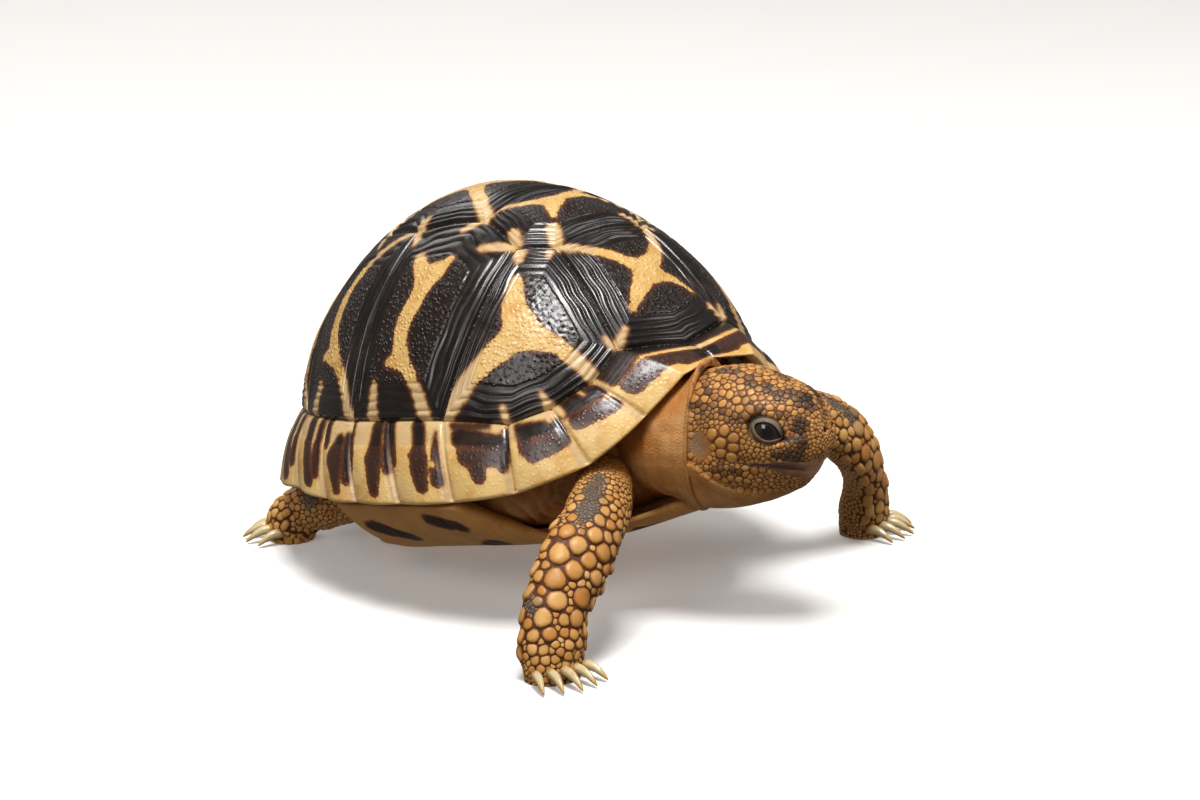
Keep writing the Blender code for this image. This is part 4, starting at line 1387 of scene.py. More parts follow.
@dataclass
class BellyPlate:
    """The plastron, in six pairs of plates, with the bridges that reach up to the rim."""

    front: float = -31.5
    rear: float = 31.5
    stations: int = 190
    across: int = 56
    seams: tuple = (-26.5, -17.0, -9.0, 10.0, 21.0)
    groove_depth: float = 0.22
    groove_mm: float = 0.28
    blotches: tuple = (
        ((-25.8, -10.5, -5.4), (-26.8, -7.0, -4.0), 1.9), ((-20.5, -11.5, -9.2), (-17.0, -7.5, -9.8), 2.3),
        ((-23.4, 2.6, -7.2), (-25.4, 6.2, -5.0), 2.1), ((-12.8, -20.4, -9.8), (-10.0, -18.0, -10.0), 2.1),
        ((-13.0, 12.5, -9.6), (-10.5, 14.5, -9.8), 2.1), ((-5.5, 2.0, -10.0), (-9.5, 6.0, -10.0), 2.6),
        ((-6.0, -27.0, -8.6), (-8.4, -25.5, -8.8), 1.2), ((-7.4, 24.4, -8.2), (-8.8, 22.6, -8.6), 1.3))

    def section(self, y: Array, share: Array) -> tuple[Array, ...]:
        """Half of the belly's outline across: outer and inner places, as in the solids.

        Args:
            y: Stations along the shell.
            share: From 0 at the middle line to 1 at the outer edge.

        Returns:
            Outer x and z, and inner x and z, stations by shares.
        """
        y = y[:, None]
        share = share[None]
        bridge = smooth_step(-17.0, -13.0, y) * (1 - smooth_step(9.5, 13.5, y))
        lobe = np.where(y < 0, 15.5 - 8.0 * smooth_step(-18.0, -34.5, y) ** 1.3,
                        15.5 - 7.0 * smooth_step(12.0, 31.5, y) ** 1.2)
        lobe = lobe - 3.2 * smooth_step(-27.5, -32.0, y) ** 2 - 5.0 * smooth_step(25.5, 31.7, y) ** 2
        bottom = PLASTRON_Z + 2.4 * smooth_step(-20.0, -36.0, y) + 2.7 * smooth_step(18.0, 32.0, y)
        half_width = lobe + (28.3 - lobe) * bridge
        edge_top = -1.5 + 0.05 * (y + 14.0)
        climb = 1.2 + (edge_top - bottom - 1.2) * bridge
        outer_x = half_width * share ** (1 - 0.22 * bridge)
        outer_z = bottom + climb * share ** (5.0 - 1.8 * bridge)
        lean = np.clip((share - 0.5) * 2, 0, 1)
        inner_x = outer_x - 2.0 * lean * bridge - 0.4 * lean
        inner_z = outer_z + PLASTRON_THICKNESS * (1 - 0.7 * lean)
        return outer_x, outer_z, inner_x, inner_z

    def build(self) -> Object:
        """The plastron as a closed mesh, grooved along its seams.

        Returns:
            The plastron.
        """
        y = np.linspace(self.front, self.rear, self.stations)
        share = np.linspace(0, 1, self.across) ** 0.8
        outer_x, outer_z, inner_x, inner_z = self.section(y, share)
        nearest = np.abs(y[:, None] - np.asarray(self.seams)).min(axis=1)
        groove = self.groove_depth * (bell(nearest, 0.0, self.groove_mm)[:, None]
                                      + bell(outer_x, 0.0, self.groove_mm))
        rings = 0.05 * (np.abs(np.sin(math.pi * nearest / 0.9)) * smooth_step(3.4, 2.4, nearest))[:, None]
        outer_z = outer_z + groove - rings * (share[None] < 0.97)
        station = np.broadcast_to(y[:, None], outer_x.shape)
        right = np.stack([-outer_x, station, outer_z], -1)[:, ::-1]
        left = np.stack([outer_x, station, outer_z], -1)[:, 1:]
        left_in = np.stack([inner_x, station, inner_z], -1)[:, ::-1]
        right_in = np.stack([-inner_x, station, inner_z], -1)[:, 1:]
        grid = np.concatenate([right, left, left_in, right_in], axis=1)
        flat = grid.reshape(-1, 3)
        gap = np.full(len(flat), FAR_MM)
        for start, end, radius in self.blotches:
            for side in (1.0, MIRROR):
                line = np.array((start, end)) * side
                gap = soft_min(gap, polyline_gap(flat, line, np.array((radius, radius))), 0.8)
        faces = [f[:, ::-1] for f in tube_faces(*grid.shape[:2])]
        fields = {"pale_mm": np.append(-gap, (-3.0, -3.0)),
                  "grown": np.full(len(flat) + 2, 0.9),
                  "ring": np.append(np.repeat(nearest, grid.shape[1]) * 1.2, (0.0, 0.0))}
        return make_piece("horn_plastron", Sleeve(standing(grid)).closed(), faces, fields)


# ---- head

HEAD_STATIONS = np.array((
    # Forward, top, bottom, half width, height of the widest level
    (0.0, 32.6, 15.0, 6.6, 24.4), (3.0, 33.3, 14.8, 7.2, 24.6), (6.0, 34.0, 15.0, 7.5, 25.2),
    (9.0, 34.3, 15.6, 7.3, 25.8), (12.0, 33.6, 16.6, 6.7, 26.4), (14.5, 33.0, 17.7, 5.9, 26.2),
    (16.5, 32.3, 18.9, 5.1, 25.8), (18.0, 31.2, 20.3, 4.3, 25.6), (19.2, 29.5, 21.7, 3.5, 25.6),
    (20.0, 27.8, 23.2, 2.5, 25.6), (20.4, 26.5, 24.4, 1.2, 25.6)))
MOUTH_BACK = 10.8
HEAD_COLUMNS = 208


def mouth_height(forward_mm: Array) -> Array:
    """Height of the line where the jaws meet."""
    return 22.9 - 0.9 * smooth_step(MOUTH_BACK, 19.5, forward_mm) + 0.25 * bell(forward_mm, 16.0, 2.0)


@dataclass(frozen=True)
class Oval:
    """An oval place on the side of the head: its middle, forward and up, and its half sizes."""

    forward: float
    height: float
    half_long: float
    half_high: float

    def level(self, s: Array, v: Array) -> Array:
        """1 on the oval's border and less inside, by forward and height."""
        return ((s - self.forward) / self.half_long) ** 2 + ((v - self.height) / self.half_high) ** 2

    def mound(self, s: Array, v: Array) -> Array:
        """A soft mound over the oval, 1 at its middle."""
        return np.exp(-self.level(s, v))


# Forms pressed into the head, and the bare places that the scales leave
EAR_HOLLOW = Oval(5.1, 25.4, 1.5, 2.2)
EAR_SHADE = Oval(4.8, 25.3, 1.5, 1.9)
EAR_BARE = Oval(5.2, 25.2, 1.75, 2.1)
TEMPLE_SWELL = Oval(8.2, 26.4, 1.6, 1.8)
TEMPLE = Oval(8.2, 26.0, 1.8, 1.8)
JAW_SWELL = Oval(7.6, 21.0, 2.6, 1.2)
CHEEK_CREASE = Oval(10.6, 23.6, 2.2, 0.5)
LORE_SHADE = Oval(16.6, 26.6, 1.5, 0.5)
LORE_BARE = Oval(16.6, 26.6, 1.5, 0.45)
NOSTRIL_ASIDE = 1.15
NOSTRIL_HEIGHT = 27.2
HOLLOW_RADIUS = 1.75


@dataclass
class EyeSetting:
    """Where an eye looks, and the almond opening of its lids."""

    facing: tuple = (0.39, 0.91, 0.08)
    half_long: float = 1.75
    half_high: float = 1.12
    tilt: float = math.radians(-24.0)
    lid: float = 0.10

    def axes(self, side: float) -> tuple[Array, Array, Array, Array]:
        """The eye's middle and its outward, forward and upward directions.

        Args:
            side: 1 for the left eye and -1 for the right one.

        Returns:
            Middle, outward, forward and upward, in the animal's frame.
        """
        forward, left = head_axes()
        middle = head_at(EYE_STATION, side * EYE_OFFSET, EYE_HEIGHT)
        ahead, out, rise = self.facing
        outward = unit(forward * ahead + left * (side * out) + UP * rise)
        along = unit(forward - outward * (forward @ outward))
        above = unit(UP - outward * (UP @ outward) - along * (UP @ along))
        cosine, sine = math.cos(self.tilt), math.sin(self.tilt)
        return middle, outward, along * cosine + above * sine, above * cosine - along * sine

    def almond(self, points: Array, side: float) -> Array:
        """How far out points lie from the eye's axis.

        Args:
            points: Rows in the animal's frame.
            side: 1 for the left eye and -1 for the right one.

        Returns:
            Shares, 1 on the lids' margin and less inside it.
        """
        middle, outward, along, above = self.axes(side)
        away = points - middle
        long, high = away @ along / self.half_long, away @ above
        narrowing = 1 - 0.28 * np.clip(long, 0, 1.6) ** 2
        gap = np.sqrt(long**2 + (high / (self.half_high * np.maximum(narrowing, 0.3))) ** 2)
        return np.where(away @ outward > 0.6, gap, FAR_MM)


EYES = EyeSetting()


def head_sleeve() -> Sleeve:
    """The head's skin: skull, cheeks, brow, mouth line, nostrils and the hollows for the eyes.

    Returns:
        The sleeve.
    """
    places = HEAD_STATIONS[:, 0]
    snout = 15.5 + 4.9 * np.sin(np.linspace(0, 0.5 * math.pi, 51)[1:])
    forward = np.concatenate([np.linspace(1.2, 15.5, 62), snout])
    t = np.interp(forward, places, np.linspace(0, 1, len(places)))
    top, bottom, half_width, level = (through(HEAD_STATIONS[:, k], t)[:, None] for k in (1, 2, 3, 4))
    turn = np.linspace(0, TAU, HEAD_COLUMNS, endpoint=False)[None]
    power = 2.0 / 2.25
    side = np.sign(np.cos(turn)) * np.abs(np.cos(turn)) ** power
    rise = np.sign(np.sin(turn)) * np.abs(np.sin(turn)) ** power
    height = level + np.where(rise > 0, rise * (top - level), rise * (level - bottom))
    jaw = 1 - 0.10 * smooth_step(0, 1, (level - 1.0 - height) / np.maximum(level - 1.0 - bottom, 0.3))
    forward = np.broadcast_to(forward[:, None], height.shape)
    brow = 0.35 * bell(forward, EYE_STATION, 3.0) * bell(height, EYE_HEIGHT + 3.2, 1.3)
    aside = side * half_width * jaw + np.sign(side) * brow
    grid = head_at(forward, aside, height)
    last = grid[-1]
    centre = last.mean(0)
    ahead = head_axes()[0]
    nose = [centre + (last - centre) * s + ahead * 0.12 * math.sqrt(1 - s * s)
            for s in np.linspace(1, 0.04, 12)[1:]]
    return sculpt_head(Sleeve(np.concatenate([grid, np.stack(nose)])))


def sculpt_head(sleeve: Sleeve) -> Sleeve:
    """Presses the head's features into its plain form.

    Args:
        sleeve: The plain head.

    Returns:
        The head with its lips, cheeks, ears, nostrils, throat crease and eye hollows.
    """
    s, w, v = head_places(sleeve.points)
    aside = np.abs(w)
    depth = np.full(s.shape, -0.24)
    over_lips = v - mouth_height(s)
    reach = smooth_step(MOUTH_BACK - 1.2, MOUTH_BACK + 0.6, s)
    depth -= 0.42 * bell(over_lips, 0.0, 0.26) * reach
    depth -= 0.16 * smooth_step(0.0, -0.5, over_lips) * smooth_step(-3.2, -1.6, over_lips) * reach
    for form, height, from_middle in ((EAR_HOLLOW, -0.30, 4), (TEMPLE_SWELL, 0.22, 4),
                                      (JAW_SWELL, 0.18, 3), (CHEEK_CREASE, -0.25, 3)):
        depth += height * form.mound(s, v) * (aside > from_middle)
    nostril = Oval(NOSTRIL_ASIDE, NOSTRIL_HEIGHT, 0.42, 0.36).level(aside, v)
    depth -= 0.55 * np.exp(-(nostril**1.5)) * (s > 18.5)
    fold = polyline_gap(np.stack([s, aside, v], -1).reshape(-1, 3),
                        np.array(((15.4, 5.4, 26.8), (16.8, 4.6, 26.5), (18.2, 3.8, 26.4))),
                        np.zeros(3)).reshape(s.shape)
    depth += 0.20 * bell(fold, 0.0, 0.28)
    depth -= 0.5 * smooth_step(24.6, 22.6, v) * smooth_step(17.6, 19.6, s)
    below = throat_height(s) - 0.15 - v
    depth += (0.34 * smooth_step(0.0, 0.5, below) * smooth_step(2.6, 0.8, below)
              - 0.16 * bell(below, 0.0, 0.16)) * smooth_step(14.0, 11.0, s)
    depth += 0.12 * bell(below, 1.9, 0.3) * smooth_step(11.0, 8.0, s)
    points = sleeve.moved(depth).points
    for side in (-1.0, 1.0):
        middle, outward, _, _ = EYES.axes(side)
        away = points - middle
        out = away @ outward
        radial = np.linalg.norm(away - out[..., None] * outward, axis=-1)
        hollow = smooth_step(1.7, 1.25, EYES.almond(points, side))
        target = np.sqrt(np.maximum(HOLLOW_RADIUS**2 - np.minimum(radial, 1.7) ** 2, 0.02))
        points = points - outward * (hollow * np.maximum(out - target, 0))[..., None]
    return Sleeve(points)


@dataclass
class Lids:
    """The ring of bare grey skin round one eye, from the lids' margin out to the head's surface.

    Each crease is its place from the margin to the border, its width and its depth.
    """

    head: BVHTree
    side: float
    around: int = 96
    rings: int = 22
    creases: tuple = ((0.34, 0.06, 0.10), (0.56, 0.05, 0.09), (0.76, 0.05, 0.06))

    def build_points(self) -> tuple[Array, list[Array]]:
        """Points and faces of the lids, closed behind.

        Returns:
            Points and faces.
        """
        middle, outward, along, above = EYES.axes(self.side)
        angle = np.linspace(0, TAU, self.around, endpoint=False)
        front = np.clip(np.cos(angle), 0, 1)
        rise = np.sin(angle)
        inner = np.stack([EYES.half_long * np.cos(angle) + 0.22 * front**6,
                          EYES.half_high * rise * np.abs(rise) ** 0.22 * (1 - 0.3 * front**2)], -1)
        stretch = np.stack([np.where(np.cos(angle) > 0, 2.95, 3.3) * np.cos(angle),
                            np.where(rise > 0, 2.65, 2.1) * rise], -1)
        grid, back = [], []
        for k in range(self.rings):
            share = k / (self.rings - 1)
            flat = inner + (stretch - inner) * share
            radial = np.linalg.norm(flat, axis=1)
            ball = np.sqrt(np.maximum((EYE_RADIUS + 0.10) ** 2 - radial**2, 0.0))
            lifted = ball + EYES.lid * math.sin(min(1.0, share * 4 + 0.2) * 0.5 * math.pi)
            at = middle + flat[:, :1] * along + flat[:, 1:] * above
            surface = np.array([self.cast(p, outward) for p in at])
            blend = smooth_step(0.18, 0.85, share)
            level = lifted * (1 - blend) + (surface + 0.02) * blend
            crease = sum(depth * bell(share, place, width) for place, width, depth in self.creases)
            level = level - crease - 0.30 * smooth_step(0.9, 1.0, share)
            grid.append(at + outward * level[:, None])
            back.append(at + outward * np.minimum(level - 0.5, ball + 0.02)[:, None])
        rows = np.stack(back[::-1] + grid)
        return rows.reshape(-1, 3), [ring_faces(len(rows), self.around), self.closing(len(rows))]

    def cast(self, point: Array, outward: Array) -> float:
        """Distance along outward from a point near the eye's middle to the head's surface."""
        hit = self.head.ray_cast(Vector(point + outward * FAR_MM), Vector(-outward))
        return FAR_MM - hit[3] if hit[0] is not None else 2.0

    def closing(self, rows: int) -> Array:
        """Quads that join the last ring to the first, so the lids are a closed band.

        Args:
            rows: How many rings.

        Returns:
            Rows of four point numbers.
        """
        j = np.arange(self.around)
        k = (j + 1) % self.around
        last = (rows - 1) * self.around
        return np.stack([last + j, last + k, k, j], -1)


def neck_sleeve() -> Sleeve:
    """The neck's loose skin, ending in a rolled collar behind the head.

    Returns:
        The sleeve.
    """
    rows, columns = 96, 150
    places = HEAD_STATIONS[:, 0]
    station = HEAD_JOIN - 0.3
    t_head = np.interp([station], places, np.linspace(0, 1, len(places)))
    top, bottom = (through(HEAD_STATIONS[:, k], t_head)[0] for k in (1, 2))
    collar = head_at(station, 0.0, 0.5 * (top + bottom))
    ahead_head = head_axes()[0]
    middle = np.array(((0.0, -19.0, 20.5), (-1.3, -24.5, 22.4), (-2.9, -29.3, 24.1),
                       collar - ahead_head * 2.2, collar))
    widths = (8.6, 9.2, 8.8, 8.1, 7.6)
    heights = (8.4, 8.6, 8.4, 8.3, 0.5 * (top - bottom) + 0.25)
    t = np.linspace(0, 1, rows)
    line = through(middle, t)
    ahead = np.gradient(line, axis=0) * (1.0, 1.0, 0.0)
    ahead[-1] = ahead_head
    ahead = unit(ahead)
    grid = oval_rings(line, np.cross(UP, ahead), np.broadcast_to(UP, line.shape),
                      through(widths, t), through(heights, t), columns)
    upper = smooth_step(0.2, 0.95, np.sin(np.linspace(0, TAU, columns, endpoint=False)))
    grid = grid + UP * (1.15 * smooth_step(0.78, 0.97, t)[:, None] * upper)[..., None]
    last, centre = grid[-1], line[-1]
    roll = [centre + ahead_head * (0.42 * math.sin(a)) + (last - centre) * (1 - 0.055 * (1 - math.cos(a)))
            for a in np.linspace(0, math.pi, 9)[1:]]
    tuck = [roll[-1] - ahead_head * d + (centre - last) * 0.01 for d in (0.5, 1.0)]
    inner = [centre - ahead_head * 1.2 + (last - centre) * s for s in (0.8, 0.5, 0.2)]
    sleeve = Sleeve(np.concatenate([grid, np.stack(roll), np.stack(tuck), np.stack(inner)]))
    s, _, v = head_places(sleeve.points)
    folds = 0.20 * bell(s, 1.3, 0.22) + 0.16 * bell(s, -0.7, 0.3) + 0.14 * bell(s, -3.2, 0.45)
    folds = folds * smooth_step(30.0, 24.0, v)
    ripple = 0.06 * seeded_waves(sleeve.points.reshape(-1, 3), 7, 2.6).reshape(s.shape)
    fade = np.ones(s.shape)
    fade[rows - 6:] = 0.0
    return sleeve.moved((-0.12 - folds + ripple) * fade)


# ---- legs and tail

@dataclass(frozen=True)
class LegForm:
    """A leg's middle line, half width, half thickness, and the ways its face and toes look."""

    line: tuple
    wide: tuple
    thick: tuple
    face: tuple
    toes: tuple
    fore: bool

    @property
    def knots(self) -> Array:
        """The middle line's knots, from the trunk to the sole."""
        return np.array(self.line, float)

    def sleeve(self) -> Sleeve:
        """The leg's skin, inside its solid by the depth of the scales.

        Returns:
            The sleeve.
        """
        rows, columns = 100, 88
        knots = self.knots
        spans = len(knots) - 1
        t = np.linspace(0, 1, rows)
        down = unit(through(knots, np.minimum(1, t + 0.03)) - through(knots, np.maximum(0, t - 0.03)))
        level = smooth_step(1 - 1.0 / spans, 1 - 0.3 / spans, t)[:, None]
        across = unit(np.cross(down, np.array(self.face)))
        sole_across = unit(np.array((self.toes[1], -self.toes[0], 0.0)))
        across = unit(across * (1 - level) + sole_across * level)
        down = unit(down * (1 - level) - UP * level)
        grid = oval_rings(through(knots, t), across, unit(np.cross(across, down)),
                          through(self.wide, t) - SKIN_DEPTH, through(self.thick, t) - SKIN_DEPTH, columns)
        grid[..., 2] = np.maximum(grid[..., 2], LOWEST_SKIN)
        flat = grid.reshape(-1, 3)
        ripple = 0.10 * seeded_waves(flat, 11, 3.4) + 0.05 * seeded_waves(flat, 12, 1.5)
        points = Sleeve(grid).moved(ripple.reshape(grid.shape[:2]) - 0.05).points
        points[..., 2] = np.maximum(points[..., 2], LOWEST_SKIN)
        return Sleeve(points)


FORE_WIDE = (3.6, 3.9, 4.5, 4.9, 4.4, 4.4, 4.0)
FORE_THICK = (3.6, 3.8, 3.7, 3.4, 3.2, 3.7, 3.6)
HIND_WIDE = (4.4, 4.8, 4.4, 3.9, 4.1, 3.7)
HIND_THICK = (4.0, 4.2, 3.9, 3.6, 3.9, 3.5)
LEGS = {
    "foreleg_right": LegForm(
        ((-7, -19, 18.5), (-13.4, -26.2, 19.4), (-19.5, -31.2, 17.6), (-26.2, -33.6, 13.2),
         (-30.8, -34.5, 8.2), (-32.2, -35.2, 3.6), (-32.5, -35.5, 0.0)),
        FORE_WIDE, FORE_THICK, (-0.55, -0.8, 0.2), (-0.22, -0.975), True),
    "foreleg_left": LegForm(
        ((7, -18, 18.5), (15.4, -25.0, 19.8), (23.6, -28.6, 19.8), (31.0, -28.8, 15.2),
         (35.8, -27.2, 9.2), (37.2, -26.0, 4.0), (37.4, -25.6, 0.0)),
        FORE_WIDE, FORE_THICK, (0.55, -0.8, 0.3), (0.42, -0.91), True),
    "hindleg_right": LegForm(
        ((-8, 15, 11.0), (-11.6, 21.6, 8.2), (-14.2, 27.2, 5.8), (-15.6, 31.0, 4.4),
         (-16.2, 32.6, 2.4), (-16.4, 32.9, 0.0)),
        HIND_WIDE, HIND_THICK, (-0.2, 0.6, 0.8), (-0.86, 0.5), False),
    "hindleg_left": LegForm(
        ((8, 12, 11.0), (13.8, 19.0, 8.4), (18.0, 23.8, 6.2), (20.4, 26.8, 4.6),
         (21.2, 27.8, 2.4), (21.4, 28.0, 0.0)),
        HIND_WIDE, HIND_THICK, (0.2, 0.6, 0.8), (0.93, 0.37), False),
}
LEG_SHADE = (
    # Bare grey patches on the forelegs, then the dark bands over the hind shins
    (((-18.8, -30.6, 21.8), (-23.0, -33.2, 19.7), (-25.0, -34.0, 18.4)), (0.9, 1.3, 0.7), True),
    (((21.5, -28.2, 23.2), (27.4, -30.9, 20.6), (30.2, -31.6, 18.4)), (0.9, 1.3, 0.7), True),
    (((-34.3, -33.2, 10.2), (-34.6, -34.2, 9.2)), (0.7, 0.6), True),
    (((-18.6, 26.6, 6.8), (-14.8, 28.6, 8.6), (-11.6, 30.2, 7.6)), (1.3, 1.3, 1.2), False),
    (((22.4, 22.4, 7.2), (18.8, 25.2, 8.9), (15.4, 28.0, 7.8)), (1.3, 1.3, 1.2), False),
)


TAIL_LINE = ((0.0, 26.0, 5.6), (0.8, 30.0, 4.9), (2.0, 33.2, 3.6), (3.2, 35.4, 2.2))


def tail_sleeve() -> Sleeve:
    """The tail's skin.

    Returns:
        The sleeve.
    """
    rows, columns = 40, 40
    t = np.linspace(0, 1, rows)
    line = through(TAIL_LINE, t)
    along = unit(np.gradient(line, axis=0))
    across = unit(np.cross(along, UP))
    radius = through((2.8, 2.3, 1.6, 0.6), t) - 0.22
    return Sleeve(oval_rings(line, across, unit(np.cross(across, along)), radius, radius, columns))


def trunk_sleeve() -> Sleeve:
    """The flesh inside the shell, with the folds that show beside the legs.

    Returns:
        The sleeve.
    """
    columns = 350
    slope = np.concatenate([np.linspace(-0.47, 0.10, 68)[:-1], np.linspace(0.10, 0.47, 17)]) * math.pi
    turn = np.linspace(0, TAU, columns, endpoint=False)
    flat = np.stack([np.sin(turn), np.cos(turn), np.zeros(columns)], -1)
    rings = []
    for angle in slope:
        if angle >= 0:
            rings.append(on_dome(flat * math.cos(angle) + UP * math.sin(angle), FLESH_SHARE))
        else:
            rings.append(on_dome(flat, FLESH_SHARE) * math.cos(angle) ** 0.6 + UP * (8.8 * math.sin(angle)))
    sleeve = Sleeve(standing(np.stack(rings)))
    depth = np.zeros(sleeve.points.shape[:2])
    uneven = 0.8 * seeded_waves(sleeve.points.reshape(-1, 3), 17, 7.0).reshape(depth.shape)
    for form in LEGS.values():
        gap = np.linalg.norm(sleeve.points - form.knots[1 if form.fore else 2], axis=-1)
        reach = smooth_step(4.0, 5.5, gap) * smooth_step(16.0, 11.0, gap)
        depth += (np.abs(np.sin(math.pi * (gap + uneven) / FOLD_PITCH)) - 0.64) * reach
    return sleeve.moved(depth - 0.45)


# ---- markings of the skin

HEAD_SPOTS = (
    # Dark spots of the head: middle forward, aside and up, half sizes, strength
    ((16.9, 1.8, 30.8), (1.5, 1.3, 1.2), 1.0), ((17.4, 3.8, 28.2), (1.0, 1.1, 1.3), 0.9),
    ((17.7, 4.0, 26.0), (0.9, 1.0, 1.1), 0.85), ((16.4, 4.9, 24.4), (2.4, 1.4, 0.9), 0.9),
    ((10.2, 6.6, 29.0), (1.6, 1.2, 0.6), 0.7), ((8.2, 6.7, 22.0), (2.4, 1.2, 0.5), 0.6),
    ((5.5, 5.6, 29.6), (1.8, 1.6, 0.9), 0.5),
)


def hide_marks(points: Array) -> dict:
    """The markings that skin and scales share, worked out from place alone.

    Args:
        points: Rows in the animal's frame.

    Returns:
        Fields dark and grey, from 0 to 1.
    """
    s, w, v = head_places(points)
    aside = np.abs(w)
    on_head = smooth_step(HEAD_JOIN - 0.4, HEAD_JOIN + 0.1, s) * (aside < 8.2)
    mottle = seeded_waves(points, 77, 2.9, 12) + 0.5 * seeded_waves(points, 78, 1.3, 12)
    dark = 0.78 * smooth_step(0.2, 0.7, mottle) * smooth_step(27.0, 30.0, v)
    place = np.stack([s, aside, v], axis=-1)
    for middle, size, strength in HEAD_SPOTS:
        gap = (((place - middle) / size) ** 2).sum(axis=-1)
        dark = np.maximum(dark, strength * smooth_step(1.7, 0.6, gap + 0.35 * mottle))
    dark = dark * on_head
    grey = on_head * (aside > 3) * np.maximum(0.62 * smooth_step(1.3, 0.0, EAR_SHADE.level(s, v)),
                                              0.6 * smooth_step(1.6, 0.6, LORE_SHADE.level(s, v)))
    for line, radii, bare in LEG_SHADE:
        gap = polyline_gap(points, np.array(line), np.array(radii)) + 0.4 * mottle
        shade = smooth_step(0.9, -0.5, gap)
        dark = np.maximum(dark, (0.85 if bare else 0.7) * shade)
        grey = np.maximum(grey, 0.3 * shade)
    return {"dark": dark, "grey": grey}


def under_scales(points: Array) -> Array:
    """How surely scales grow over points of the skin: on the legs, the tail and the crown.

    Args:
        points: Rows in the animal's frame.

    Returns:
        Values from 0 to 1.
    """
    legs = np.zeros(len(points))
    for form in LEGS.values():
        gap = polyline_gap(points, form.knots, np.array(form.wide))
        from_root = np.linalg.norm(points - form.knots[1], axis=1)
        legs = np.maximum(legs, smooth_step(1.2, 0.4, gap) * smooth_step(4.0, 6.5, from_root))
    tail = smooth_step(1.0, 0.4, polyline_gap(points, np.array(TAIL_LINE[1::2]), np.array((2.3, 0.8))))
    s, w, v = head_places(points)
    ear = EAR_BARE.level(s, v) + FAR_MM * (np.abs(w) < 3)
    crown = (smooth_step(HEAD_JOIN, HEAD_JOIN + 0.4, s) * smooth_step(-0.1, 0.2, v - throat_height(s))
             * (np.abs(w) < 8.4) * smooth_step(22.0, 20.8, s) * smooth_step(0.75, 1.1, ear))
    return np.maximum.reduce([legs, 0.8 * tail, 0.85 * crown])


def one_skin(parts: dict[str, Sleeve], finish: Material) -> Object:
    """The trunk, neck, head, legs and tail united into one closed skin.

    Args:
        parts: Sleeves by the names of their solids, with the trunk first.
        finish: The skin's material.

    Returns:
        The skin.
    """
    trunk, *others = parts.values()
    whole = trunk.solid("skin")
    for sleeve in others:
        part = sleeve.solid("part_of_skin")
        select_only(whole)
        bpy.ops.object.modifier_add(type="BOOLEAN")
        union = whole.modifiers[-1]
        union.operation, union.solver, union.object = "UNION", "MANIFOLD", part
        bpy.ops.object.modifier_apply(modifier=union.name)
        bpy.data.objects.remove(part, do_unlink=True)
    mesh = whole.data
    co = np.empty(len(mesh.vertices) * 3, np.float32)
    mesh.vertices.foreach_get("co", co)
    points = co.reshape(-1, 3).astype(float) / MM - ORIGIN
    marks = hide_marks(points)
    marks["net"] = under_scales(points)
    for key, values in marks.items():
        keep_field(mesh, key, values)
    mesh.shade_smooth()
    return dress(whole, finish, tuple(parts))


# ---- scales

# Rings of one scale, from its sunken border to its crown: share of its reach, share of its height.
# The scales read their sleeve's slope over a step aside.
SCALE_RINGS = ((1.0, -0.35), (0.985, 0.15), (0.86, 0.72), (0.50, 1.0))
STEP_ASIDE = 0.004


